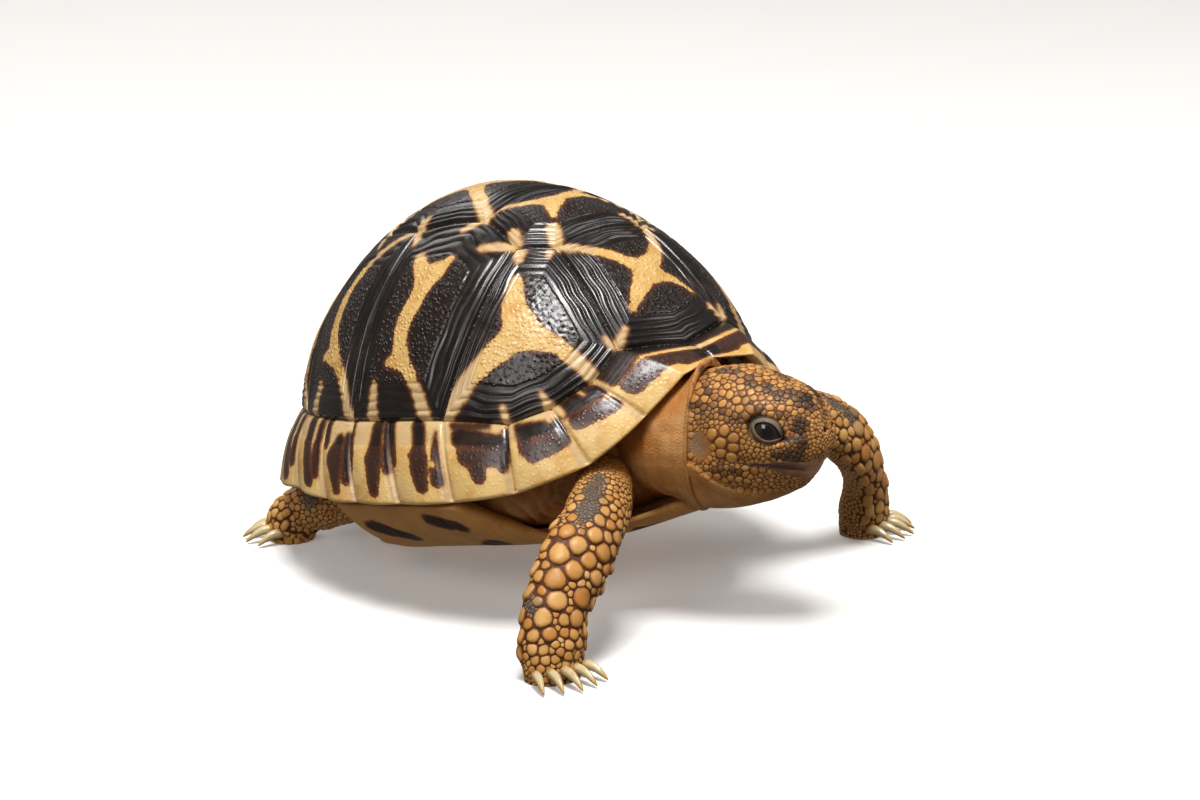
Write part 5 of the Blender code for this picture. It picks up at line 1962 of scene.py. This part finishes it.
@dataclass
class ScaleCoat:
    """Scales over one sleeve: where they may grow, how large and how tall.

    size_at gives the radius at places on the sleeve, 0 where none may grow. Each entry of extras
    is a scale given one by one: place along, place around, radius, and 1 where it is a pointed spur.
    """

    name: str
    sleeve: Sleeve
    size_at: Callable[[Array, Array, Array], Array]
    height_share: float = 0.2
    lean: float = 0.25
    grout: float = 0.06
    reach: float = 1.9
    packing: float = 0.84
    fill: float = 0.5
    seed: int = 5
    tries: int = 9000
    directions: int = 12
    tint_middle: float = 0.35
    extras: list = field(default_factory=list)

    def seeds(self) -> tuple[Array, Array, Array]:
        """Places for the scales, each as far from the next as their sizes ask.

        Returns:
            Places along, places around, and radii.
        """
        draw = np.random.default_rng(self.seed)
        rows, columns = self.sleeve.points.shape[:2]
        along_step = np.linalg.norm(np.diff(self.sleeve.points, axis=0), axis=-1)
        around_step = np.linalg.norm(np.roll(self.sleeve.points, -1, 1) - self.sleeve.points, axis=-1)[:-1]
        area = (along_step * around_step).ravel()
        pick = draw.choice(len(area), self.tries, p=area / area.sum())
        u = (pick // columns + draw.random(self.tries)) / (rows - 1)
        v = (pick % columns + draw.random(self.tries)) / columns
        place, _ = self.sleeve.at(u, v)
        radius = self.size_at(place, u, v)
        keep = radius > 0
        u, v, place, radius = u[keep], v[keep], place[keep], radius[keep]
        small = draw.random(len(radius)) < 0.5
        radius = np.where(small, np.maximum(radius * self.fill, np.minimum(radius, 0.2)), radius)
        order = np.argsort(-radius + 0.12 * draw.random(len(radius)), kind="stable")
        chosen = []
        count = len(self.extras)
        taken, taken_radius = np.empty((len(order) + count, 3)), np.empty(len(order) + count)
        if self.extras:
            along, around, size, _ = np.array(self.extras, float).T
            taken[:count], taken_radius[:count] = self.sleeve.at(along, around)[0], 0.9 * size
        for k in order:
            gap = np.linalg.norm(taken[:count] - place[k], axis=1)
            if (gap < self.packing * (taken_radius[:count] + radius[k])).any():
                continue
            chosen.append(k)
            taken[count], taken_radius[count] = place[k], radius[k]
            count += 1
        return u[chosen], v[chosen], radius[chosen]

    def build(self) -> Object:
        """All the scales of this coat as one joined mesh.

        Returns:
            The coat.
        """
        u, v, radius = self.seeds()
        spur, by_hand = np.zeros(len(u)), np.zeros(len(u))
        if self.extras:
            along, around, size, pointed = np.array(self.extras, float).T
            u, v, radius = np.append(u, along), np.append(v, around), np.append(radius, size)
            spur, by_hand = np.append(spur, pointed), np.append(by_hand, 1 - pointed)
        place, normal = self.sleeve.at(u, v)
        low, high = np.maximum(u - STEP_ASIDE, 0), np.minimum(u + STEP_ASIDE, 1)
        per_u = (self.sleeve.at(high, v)[0] - self.sleeve.at(low, v)[0]) / (high - low)[:, None]
        beside, other = (self.sleeve.at(u, v + step)[0] for step in (STEP_ASIDE, -STEP_ASIDE))
        per_v = (beside - other) / (2 * STEP_ASIDE)
        tangent = unit(per_u - normal * (per_u * normal).sum(1, keepdims=True))
        bitangent = np.cross(normal, tangent)
        outline = self.outlines(place, tangent, bitangent, radius, spur)
        outline = np.where(by_hand[:, None] > 0.5, radius[:, None], outline)
        angle = np.linspace(0, TAU, self.directions, endpoint=False)
        local = np.stack([np.cos(angle), np.sin(angle)], -1)
        draw = np.random.default_rng(self.seed + 1)
        height = self.height_share * np.minimum(radius, 1.35) * draw.uniform(0.85, 1.15, len(u)) * (
            1 + 0.5 * spur + 0.1 * by_hand)
        metric_u = np.maximum((per_u * tangent).sum(1), 1e-6)
        metric_v = (per_v * bitangent).sum(1)
        skew = (per_v * tangent).sum(1)
        middle = np.zeros((len(u), 1, 2))
        shapes = [(local[None] * (outline * share)[..., None], rise, share) for share, rise in SCALE_RINGS]
        shapes += [(middle, 1.06, 0.0), (middle, -0.35, 1.0)]
        points, rim, offsets = [], [], []
        for flat, rise, border in shapes:
            points.append(self.lifted(u, v, flat, rise, height, metric_u, metric_v, skew, spur))
            rim.append(np.full(flat.shape[:2], border))
            offsets.append(flat / np.maximum(radius[:, None, None], 0.1))
        block = np.concatenate(points, axis=1)
        per, n, rings = block.shape[1], self.directions, len(SCALE_RINGS)
        caps = np.vstack([fan_faces((rings - 1) * n, n, per - 2, True), fan_faces(0, n, per - 1, False)])
        start = (np.arange(len(u)) * per)[:, None, None]
        faces = [(ring_faces(rings, n) + start).reshape(-1, 4), (caps + start).reshape(-1, 3)]
        root = np.stack([0.02 + 0.96 * v, 0.02 + 0.96 * u], -1)
        patches = (root[:, None] + np.concatenate(offsets, axis=1) * 0.0015).reshape(-1, 2)
        tint = np.clip(self.tint_middle + 0.28 * draw.normal(size=len(u)), 0, 1)
        fields = {"rim": np.concatenate(rim, axis=1).ravel(), "tint": np.repeat(tint, per)}
        fields.update(hide_marks(np.repeat(place, per, axis=0)))
        LOG.info("%s: %d scales", self.name, len(u))
        return make_piece(self.name, block.reshape(-1, 3), faces, fields, patches)

    def outlines(self, place: Array, tangent: Array, bitangent: Array,
                 radius: Array, spur: Array) -> Array:
        """How far each scale reaches in each direction before it meets a neighbour.

        Args:
            place: The scales' middles.
            tangent: The way along the sleeve at each.
            bitangent: The way around it.
            radius: The scales' radii.
            spur: 1 for each pointed scale.

        Returns:
            Millimetres, scales by directions.
        """
        angle = np.linspace(0, TAU, self.directions, endpoint=False)
        away = place[None] - place[:, None]
        dx = (away * tangent[:, None]).sum(-1)
        dy = (away * bitangent[:, None]).sum(-1)
        level = np.maximum(np.hypot(dx, dy), 1e-6)
        gap = np.linalg.norm(away, axis=-1)
        np.fill_diagonal(gap, 1e6)
        split = (gap**2 + radius[:, None] ** 2 - radius[None] ** 2) / (2 * gap)
        split = np.maximum(split, 0.3 * radius[:, None])
        reach = np.repeat((self.reach * radius)[:, None], self.directions, axis=1)
        for k, a in enumerate(angle):
            toward = (dx * math.cos(a) + dy * math.sin(a)) / level
            limit = np.where((toward > 0.15) & (gap < 4.5), split / np.maximum(toward, 0.15), 1e6)
            reach[:, k] = np.minimum(reach[:, k], limit.min(1))
        soft = reach - self.grout * np.clip(radius[:, None] / 0.8, 0.45, 1.4)
        soft = 0.7 * soft + 0.15 * (np.roll(soft, 1, 1) + np.roll(soft, -1, 1))
        point = np.clip(np.cos(angle), 0, 1)[None] ** 4
        pointed = radius[:, None] * (0.72 + 0.95 * point + 0.12 * np.clip(-np.cos(angle), 0, 1)[None])
        return np.where(spur[:, None] > 0.5, pointed, np.maximum(soft, 0.12))

    def lifted(self, u: Array, v: Array, flat: Array, rise: float, height: Array,
               metric_u: Array, metric_v: Array, skew: Array,
               spur: Array) -> Array:
        """Points over the sleeve at offsets from each scale's middle.

        Args:
            u: Places along the sleeve.
            v: Places around it.
            flat: Offsets in millimetres, scales by points by two.
            rise: Share of the scales' height.
            height: The scales' heights.
            metric_u: Millimetres per step along at each scale.
            metric_v: Millimetres per step around.
            skew: How far a step around also leads along.
            spur: 1 for each pointed scale.

        Returns:
            Points, scales by points by three.
        """
        step_v = flat[..., 1] / np.where(np.abs(metric_v) < 1e-6, 1e-6, metric_v)[:, None]
        step_u = (flat[..., 0] - step_v * skew[:, None]) / metric_u[:, None]
        at, out = self.sleeve.at(np.clip(u[:, None] + step_u, 0, 1), v[:, None] + step_v)
        tilt = self.lean * flat[..., 0] * (1.0 if rise > 0 else 0.2) * (1 + 1.1 * spur[:, None])
        lift = rise * height[:, None] + tilt * np.clip(rise, 0, 1) * 0.5
        raised = at + out * np.maximum(lift, -0.35)[..., None]
        raised[..., 2] = np.maximum(raised[..., 2], 0.02)
        return raised


def throat_height(forward_mm: Array) -> Array:
    """Height of the crease below which the throat is bare, rising towards the neck."""
    return 19.1 + 4.0 * np.clip((13.0 - forward_mm) / 9.0, 0, 1) ** 2


def head_scale_size(place: Array, u: Array, v: Array) -> Array:
    """Radius of the head's scales: large on the crown, fine at the nose, none on bare parts.

    Args:
        place: Points of the skin.
        u: Their places along the head, which this rule doesn't need.
        v: Their places around it, which it doesn't need either.

    Returns:
        One radius for each point.
    """
    s, w, h = head_places(place)
    aside = np.abs(w)
    crown = smooth_step(28.0, 31.0, h)
    size = (0.30 + 0.16 * crown + 0.10 * smooth_step(15.0, 9.0, s) * crown
            + 0.10 * bell(h, 30.0, 0.9) * bell(s, 12.0, 3.5) - 0.06 * smooth_step(16.5, 19.5, s))
    jaw = smooth_step(mouth_height(s) + 0.4, mouth_height(s) - 0.6, h)
    size = size + 0.16 * jaw * smooth_step(15.0, 12.0, s)
    size = np.where((h < throat_height(s)) | (s < HEAD_JOIN + 0.4), 0.0, size)
    over_lips = h - mouth_height(s)
    mouth = (s > MOUTH_BACK) & (np.abs(over_lips) < 0.45)
    front = smooth_step(15.0, 18.5, s)
    sheath = (s > 14.0) & (over_lips > -0.6 - 1.2 * front) & (over_lips < 0.7 + 0.9 * front)
    size = np.where(mouth | sheath, 0.0, size)
    for form, radius in ((TEMPLE, 0.8), (EAR_BARE, 0.0), (LORE_BARE, 0.0)):
        size = np.where((form.level(s, h) < 1) & (aside > 3.2), radius, size)
    for side in (-1.0, 1.0):
        size = np.where(EYES.almond(place, side) < 1.78, 0.0, size)
    nostril = Oval(NOSTRIL_ASIDE, NOSTRIL_HEIGHT, 0.55, 0.5).level(aside, h)
    return np.where((nostril < 1) & (s > 18.5), 0.0, size)


def temple_scales(head: Sleeve) -> list:
    """The raised round scale behind each eye.

    Args:
        head: The head's skin.

    Returns:
        Place along, place around, radius and 0, as ScaleCoat.extras asks.
    """
    rows, columns = head.points.shape[:2]
    made = []
    for side in (-1.0, 1.0):
        behind_eye = head_at(9.5, side * 7.0, 23.9)
        row, column = divmod(np.argmin(np.linalg.norm(head.points - behind_eye, axis=-1)), columns)
        made.append((row / (rows - 1), column / columns, 0.85, 0.0))
    return made


def leg_scale_size(form: LegForm) -> Callable:
    """The rule for a leg's scale radii.

    Args:
        form: The leg.

    Returns:
        A function of place, along and around.
    """
    def size(place: Array, u: Array, v: Array) -> Array:
        """Large on the face of the forearm, fine behind and at the root."""
        facing = np.cos((v - 0.25) * TAU)
        front = smooth_step(-0.35, 0.75, facing)
        if form.fore:
            middle = bell(u, 0.58, 0.22)
            mixed = 1 + 0.42 * np.clip(seeded_waves(place, 41, 3.6), -1, 1)
            made = 0.28 + (0.30 * front + 0.66 * front**2 * middle) * mixed
            below_root = smooth_step(0.20, 0.42, u)
            made = made * below_root + 0.24 * (1 - below_root)
            made = made * (1 - 0.28 * smooth_step(0.80, 0.95, u))
        else:
            made = 0.46 + 0.42 * front * bell(u, 0.8, 0.22) - 0.10 * smooth_step(0.4, 0.2, u)
        for line, radii, bare in LEG_SHADE:
            if bare:
                shade = polyline_gap(place, np.array(line), np.array(radii))
                made = np.where(shade < 0.3, np.minimum(made, 0.2), made)
        return np.where(u < (0.12 if form.fore else 0.22), 0.0, made)

    return size


def tail_scale_size(place: Array, u: Array, v: Array) -> Array:
    """Radius of the tail's scales."""
    return np.where(u < 0.2, 0.0, 0.42 - 0.14 * u)


def leg_spurs(form: LegForm) -> list:
    """Pointed scales down a leg's edges.

    Args:
        form: The leg.

    Returns:
        Place along, place around, radius and 1, as ScaleCoat.extras asks.
    """
    if not form.fore:
        return [(0.62 + 0.09 * k, 0.47 + 0.05 * (k % 2), 0.75, 1.0) for k in range(3)]
    return [(along + 0.065 * k, around + 0.02 * (k % 2), radius - 0.04 * abs(k - 3), 1.0)
            for k in range(7) for along, around, radius in ((0.44, 0.02, 1.05), (0.46, 0.46, 1.0))]


# ---- beak, eyes, claws

@dataclass
class Beak:
    """The upper or the lower horn sheath, laid over the front of the head's surface.

    Its columns fan out from the pivot, a point in the head's middle plane behind the beak.
    """

    head: BVHTree
    upper: bool
    pivot: Array = field(default_factory=lambda: head_at(13.2, 0.0, 0.0))
    columns: int = 150
    rows: int = 22
    reach: float = math.radians(128.0)

    def build(self) -> Object:
        """The sheath as a closed mesh.

        Returns:
            The sheath.
        """
        angle = np.linspace(-self.reach, self.reach, self.columns)
        forward, left = head_axes()
        ways = unit(np.cos(angle)[:, None] * forward + np.sin(angle)[:, None] * left)
        turn = np.abs(angle) / self.reach
        fade = 1 - smooth_step(0.45 if self.upper else 0.3, 0.9 if self.upper else 0.75, turn)
        grid_out, grid_in = [], []
        for share in np.arange(self.rows) / (self.rows - 1):
            thickness = 0.17 * math.sin(math.pi * min(1.0, share * 0.9 + 0.12)) ** 0.5
            lip = 0.10 * float(bell(share, 0.0, 0.25)) if self.upper else 0.0
            outer, inner = [], []
            for way, front in zip(ways, fade):
                hit, out = self.surface(way, self.level(way, share, front))
                outer.append(hit + out * (thickness * (0.25 + 0.75 * front) + lip * front))
                inner.append(hit - out * 0.5)
            grid_out.append(outer)
            grid_in.append(inner)
        loop = np.array(grid_out + grid_in[::-1]).transpose(1, 0, 2)
        piece = Sleeve(loop).solid("beak_upper" if self.upper else "beak_lower")
        dark = smooth_step(0.14, 0.42, turn) * (0.85 if self.upper else 0.35)
        keep_field(piece.data, "dark", np.append(np.repeat(dark, loop.shape[1]), (0.0, 0.0)))
        return piece

    def level(self, way: Array, share: float, fade: float) -> float:
        """Height of one row of the sheath in one direction.

        Args:
            way: The direction from the pivot.
            share: Which row, from 0 at the cutting edge to 1.
            fade: How tall the sheath is here, from 0 at the cheek to 1 in front.

        Returns:
            Height over the floor.
        """
        hit, _ = self.surface(way, 22.4)
        s = float((hit - HEAD_BACK) @ head_axes()[0])
        line = float(mouth_height(s))
        front = float(smooth_step(17.0, 20.0, s))
        if self.upper:
            hook = 0.5 * float(bell(s, 20.3, 0.7))
            low = line - 0.12 - hook
            high = line + 0.35 + (0.8 + 0.9 * front) * fade
            return low + (high - low) * share
        low = line - 0.3 - (1.0 + 0.5 * front) * fade
        high = line - 0.10
        return high + (low - high) * share

    def surface(self, way: Array, height: float) -> tuple[Array, Array]:
        """The head's surface at a height in one direction.

        Args:
            way: The direction from the pivot.
            height: Height over the floor.

        Returns:
            A point of the surface, and the outward direction there.
        """
        origin = Vector((*self.pivot[:2], height)) + Vector(way) * 14.0
        hit, normal, _, _ = self.head.ray_cast(origin, Vector(-way))
        if hit is None:
            return np.array(origin) - way * 9.0, way
        out = np.array(normal)
        return np.array(hit), out if out @ way > 0 else -out


def eye_ball(side: float, finish: Material) -> Object:
    """One eye, with its cornea slightly bulged.

    Args:
        side: 1 for the left eye and -1 for the right one.
        finish: The eye's material.

    Returns:
        The eye.
    """
    label = "left" if side > 0 else "right"
    middle, outward, _, _ = EYES.axes(side)
    bpy.ops.object.select_all(action="DESELECT")
    bpy.ops.mesh.primitive_uv_sphere_add(segments=64, ring_count=40, radius=EYE_RADIUS * MM,
                                         location=tuple((middle + ORIGIN) * MM))
    eye = bpy.context.object
    eye.name = eye.data.name = f"eyeball_{label}"
    bpy.ops.object.transform_apply(location=True, rotation=True, scale=True)
    centre = (middle + ORIGIN) * MM
    look = []
    for vertex in eye.data.vertices:
        way = (np.array(vertex.co) - centre) / (EYE_RADIUS * MM)
        angle = math.acos(max(-1.0, min(1.0, float(way @ outward))))
        look.append(angle)
        bulge = 0.955 + 0.05 * math.exp(-(angle / 0.5) ** 2)
        vertex.co = Vector(centre + way * EYE_RADIUS * MM * bulge)
    keep_field(eye.data, "look", look)
    eye.data.shade_smooth()
    return dress(eye, finish, (f"eye_{label}",))


@dataclass(frozen=True)
class ClawFan:
    """The row of claws across the front of a foot."""

    total: int
    spread: float
    reach: float
    length: float
    radius: float = 0.8
    tip_height: float = 0.35

    def build(self, leg: str, form: LegForm, finish: Material) -> list[Object]:
        """Each claw as a curved, pointed piece.

        Args:
            leg: The leg's name.
            form: The leg's form.
            finish: The claws' material.

        Returns:
            The claws.
        """
        ahead = unit(np.array((*form.toes, 0.0)))
        aside = np.cross(UP, ahead)
        sole = form.knots[-1]
        foot = leg.replace("leg", "")
        made = []
        for i in range(self.total):
            place = i - 0.5 * (self.total - 1)
            share = abs(place) / (0.5 * (self.total - 1))
            way = unit(ahead + aside * 0.16 * place)
            base = sole + aside * (self.spread * place) + ahead * (self.reach - 0.9 * share**2)
            base = base + UP * (1.75 - 0.25 * share)
            tip = base + way * self.length * (1 - 0.12 * share)
            tip[2] = self.tip_height
            name = f"{foot}_{i + 1}"
            piece = self.claw(f"nail_{name}", base, tip)
            made.append(dress(piece, finish, (f"claw_{name}",)))
        return made

    def claw(self, name: str, base: Array, tip: Array) -> Object:
        """One claw, ridged along its back.

        Args:
            name: The object's name.
            base: The middle of its root.
            tip: Its point.

        Returns:
            The claw.
        """
        rows, columns = 26, 22
        t = np.linspace(0, 1, rows)
        run = tip - base
        across = unit(np.cross(UP, run))
        upward = unit(np.cross(run, across))
        share = t * 0.985
        thickness = np.interp(share, (0, 0.35, 0.7, 0.97, 1.0), (1.0, 0.9, 0.62, 0.26, 0.14))
        thickness[-3:] *= (0.93, 0.78, 0.5)
        centre = base + run * share[:, None] + UP * (0.55 * np.sin(math.pi * share))[:, None]
        turn = np.linspace(0, TAU, columns, endpoint=False)
        groove = 1 - 0.05 * np.cos(turn * 6) * (np.sin(turn) > -0.2)
        wide = np.cos(turn) * groove * 0.8
        high = np.sin(turn) * groove * np.where(np.sin(turn) < 0, 0.8, 1.0)
        round_it = across * wide[:, None] + upward * high[:, None]
        grid = centre[:, None] + (self.radius * thickness)[:, None, None] * round_it
        grid[..., 2] = np.maximum(grid[..., 2], 0.06)
        piece = Sleeve(grid).solid(name)
        keep_field(piece.data, "along", np.append(np.repeat(t, columns), (0.0, 1.0)))
        return piece


# ---- the animal

class Shell:
    """All the horn of the shell."""

    def build(self) -> None:
        """Makes and dresses every plate."""
        plate_horn, rim_horn = PlateHorn().material(), RimHorn().material()
        for plate in vertebral_plates() + costal_plates():
            dress(plate.build(), plate_horn, (plate.name,))
        for strip in rim_strips():
            dress(strip.build(), rim_horn, (strip.name,))
        dress(BellyPlate().build(), BellyHorn().material(), ("plastron",))


class Body:
    """The skin with its scales, lids, beak, eyes and claws."""

    def __init__(self) -> None:
        """Works out every sleeve of skin."""
        self.parts = {"trunk": trunk_sleeve(), "neck": neck_sleeve(), "head": head_sleeve()}
        self.parts.update({name: form.sleeve() for name, form in LEGS.items()})
        self.parts["tail"] = tail_sleeve()

    def build(self) -> None:
        """Makes and dresses the skin and all that grows on it."""
        hide = Hide().material()
        one_skin(self.parts, hide)
        head = self.head_tree()
        self.lids(head, hide)
        self.coats()
        horn = BeakHorn().material()
        for upper in (True, False):
            dress(Beak(head, upper).build(), horn)
        eye_finish = EyeGloss().material()
        for side in (-1.0, 1.0):
            eye_ball(side, eye_finish)
        claw_finish = ClawHorn().material()
        fore_claws = ClawFan(total=5, spread=1.7, reach=2.6, length=4.8)
        hind_claws = ClawFan(total=4, spread=1.8, reach=2.5, length=4.6)
        for name, form in LEGS.items():
            (fore_claws if form.fore else hind_claws).build(name, form, claw_finish)

    def head_tree(self) -> BVHTree:
        """The head's surface, for what is laid over it."""
        grid = self.parts["head"].points
        return BVHTree.FromPolygons([Vector(p) for p in grid.reshape(-1, 3)],
                                    ring_faces(*grid.shape[:2]).tolist())

    def lids(self, head: BVHTree, hide: Material) -> None:
        """Both pairs of lids.

        Args:
            head: The head's surface.
            hide: The skin's material.
        """
        for side in (-1.0, 1.0):
            points, faces = Lids(head, side).build_points()
            if side > 0:
                faces = [f[:, ::-1] for f in faces]
            marks = {"dark": np.zeros(len(points)), "net": np.zeros(len(points)),
                     "grey": 0.9 + 0.1 * np.clip(seeded_waves(points, 61, 1.6), -1, 1)}
            piece = make_piece(f"lids_{'left' if side > 0 else 'right'}", points, faces, marks)
            dress(piece, hide)

    def coats(self) -> None:
        """The scales of the head, legs and tail."""
        leg_horn, head_horn = ScaleHorn().material(), HeadScaleHorn().material()
        head = self.parts["head"]
        coats = [ScaleCoat("scales_head", head, head_scale_size, height_share=0.24, lean=0.08,
                           grout=0.055, reach=1.7, seed=21, tries=26000, extras=temple_scales(head))]
        for seed, (name, form) in enumerate(LEGS.items(), start=31):
            coats.append(ScaleCoat(f"scales_{name}", self.parts[name], leg_scale_size(form),
                                   height_share=0.22 if form.fore else 0.34, lean=0.22, grout=0.07,
                                   seed=seed, tries=12000, extras=leg_spurs(form)))
        coats.append(ScaleCoat("scales_tail", self.parts["tail"], tail_scale_size,
                               height_share=0.3, seed=51, tries=3000))
        for coat in coats:
            dress(coat.build(), head_horn if coat.sleeve is head else leg_horn)


@dataclass
class Studio:
    """Pale floor, soft lights and the camera.

    The camera stands distance_mm from the shell's middle along away, with up as its upward way,
    and looks a little right of the shell and above it. Each lamp is its name, place, size and
    power. The room is bright where it is seen and dim where it lights the animal.
    """

    away: tuple = (-0.66160, -0.69384, 0.28437)
    up: tuple = (0.21706, 0.18580, 0.95831)
    distance_mm: float = 519.8
    aim_right_mm: float = 8.45
    aim_up_mm: float = 7.16
    lens_mm: float = 115.0
    board_metres: float = 6.0
    room: str = "#fff3e8"
    room_light: float = 0.17
    room_seen: float = 0.8
    lamps: tuple = (
        ("key", (-0.14, -0.16, 0.70), 0.24, 5.5), ("fill", (0.50, -0.50, 0.40), 0.35, 1.2),
        ("side", (-0.60, -0.15, 0.40), 0.3, 1.2), ("back", (0.20, 0.55, 0.50), 0.4, 1.0))

    def build(self) -> None:
        """Sets the stage, with colours shown as they are."""
        bpy.context.scene.view_settings.view_transform = "Standard"
        self.floor()
        self.camera()
        self.lights()

    def floor(self) -> None:
        """A wide pale board."""
        bpy.ops.object.select_all(action="DESELECT")
        bpy.ops.mesh.primitive_plane_add(size=self.board_metres, location=(0, 0, -0.00002))
        board = bpy.context.object
        board.name = "studio_floor"
        board.data.materials.append(PaleBoard().material())
        board.visible_diffuse = board.visible_glossy = False

    def camera(self) -> None:
        """A long lens, a little above the back of the shell."""
        away, up = unit(np.array(self.away)), unit(np.array(self.up))
        right = unit(np.cross(up, away))
        shell = np.array((0.0, 0.0, SHELL_LIFT))
        eye = shell + away * self.distance_mm
        aim = shell + right * self.aim_right_mm + up * self.aim_up_mm
        back = unit(eye - aim)
        across = unit(np.cross(up, back))
        above = np.cross(back, across)
        lens = bpy.data.cameras.new("camera")
        lens.lens, lens.sensor_width = self.lens_mm, 36.0
        lens.clip_start, lens.clip_end = 0.01, 20.0
        camera = bpy.data.objects.new("camera", lens)
        turned = Matrix((across, above, back)).transposed().to_4x4()
        turned.translation = Vector((eye + ORIGIN) * MM)
        camera.matrix_world = turned
        bpy.context.scene.collection.objects.link(camera)
        bpy.context.scene.camera = camera

    def lights(self) -> None:
        """A large soft key from above, two fills and a pale room."""
        world = bpy.data.worlds.new("pale_room")
        bpy.context.scene.world = world
        world.use_nodes = True
        background = world.node_tree.nodes["Background"]
        background.inputs["Color"].default_value = linear(self.room)
        path = add_node(world.node_tree, "ShaderNodeLightPath")
        seen = add_node(world.node_tree, "ShaderNodeMath", {"operation": "MULTIPLY_ADD"},
                        {0: path.outputs["Is Camera Ray"], 1: self.room_seen, 2: self.room_light})
        world.node_tree.links.new(seen.outputs[0], background.inputs["Strength"])
        for name, place, size, power in self.lamps:
            lamp = bpy.data.lights.new(name, "AREA")
            lamp.size, lamp.energy = size, power
            light = bpy.data.objects.new(name, lamp)
            light.location = place
            toward = Vector((0, 0, 0.02)) - Vector(place)
            light.rotation_euler = toward.to_track_quat("-Z", "Y").to_euler()
            bpy.context.scene.collection.objects.link(light)


def main() -> None:
    """Builds the tortoise and its studio."""
    logging.basicConfig(level=logging.INFO, format="%(message)s")
    Studio().build()
    Shell().build()
    Body().build()


if __name__ == "__main__":
    main()
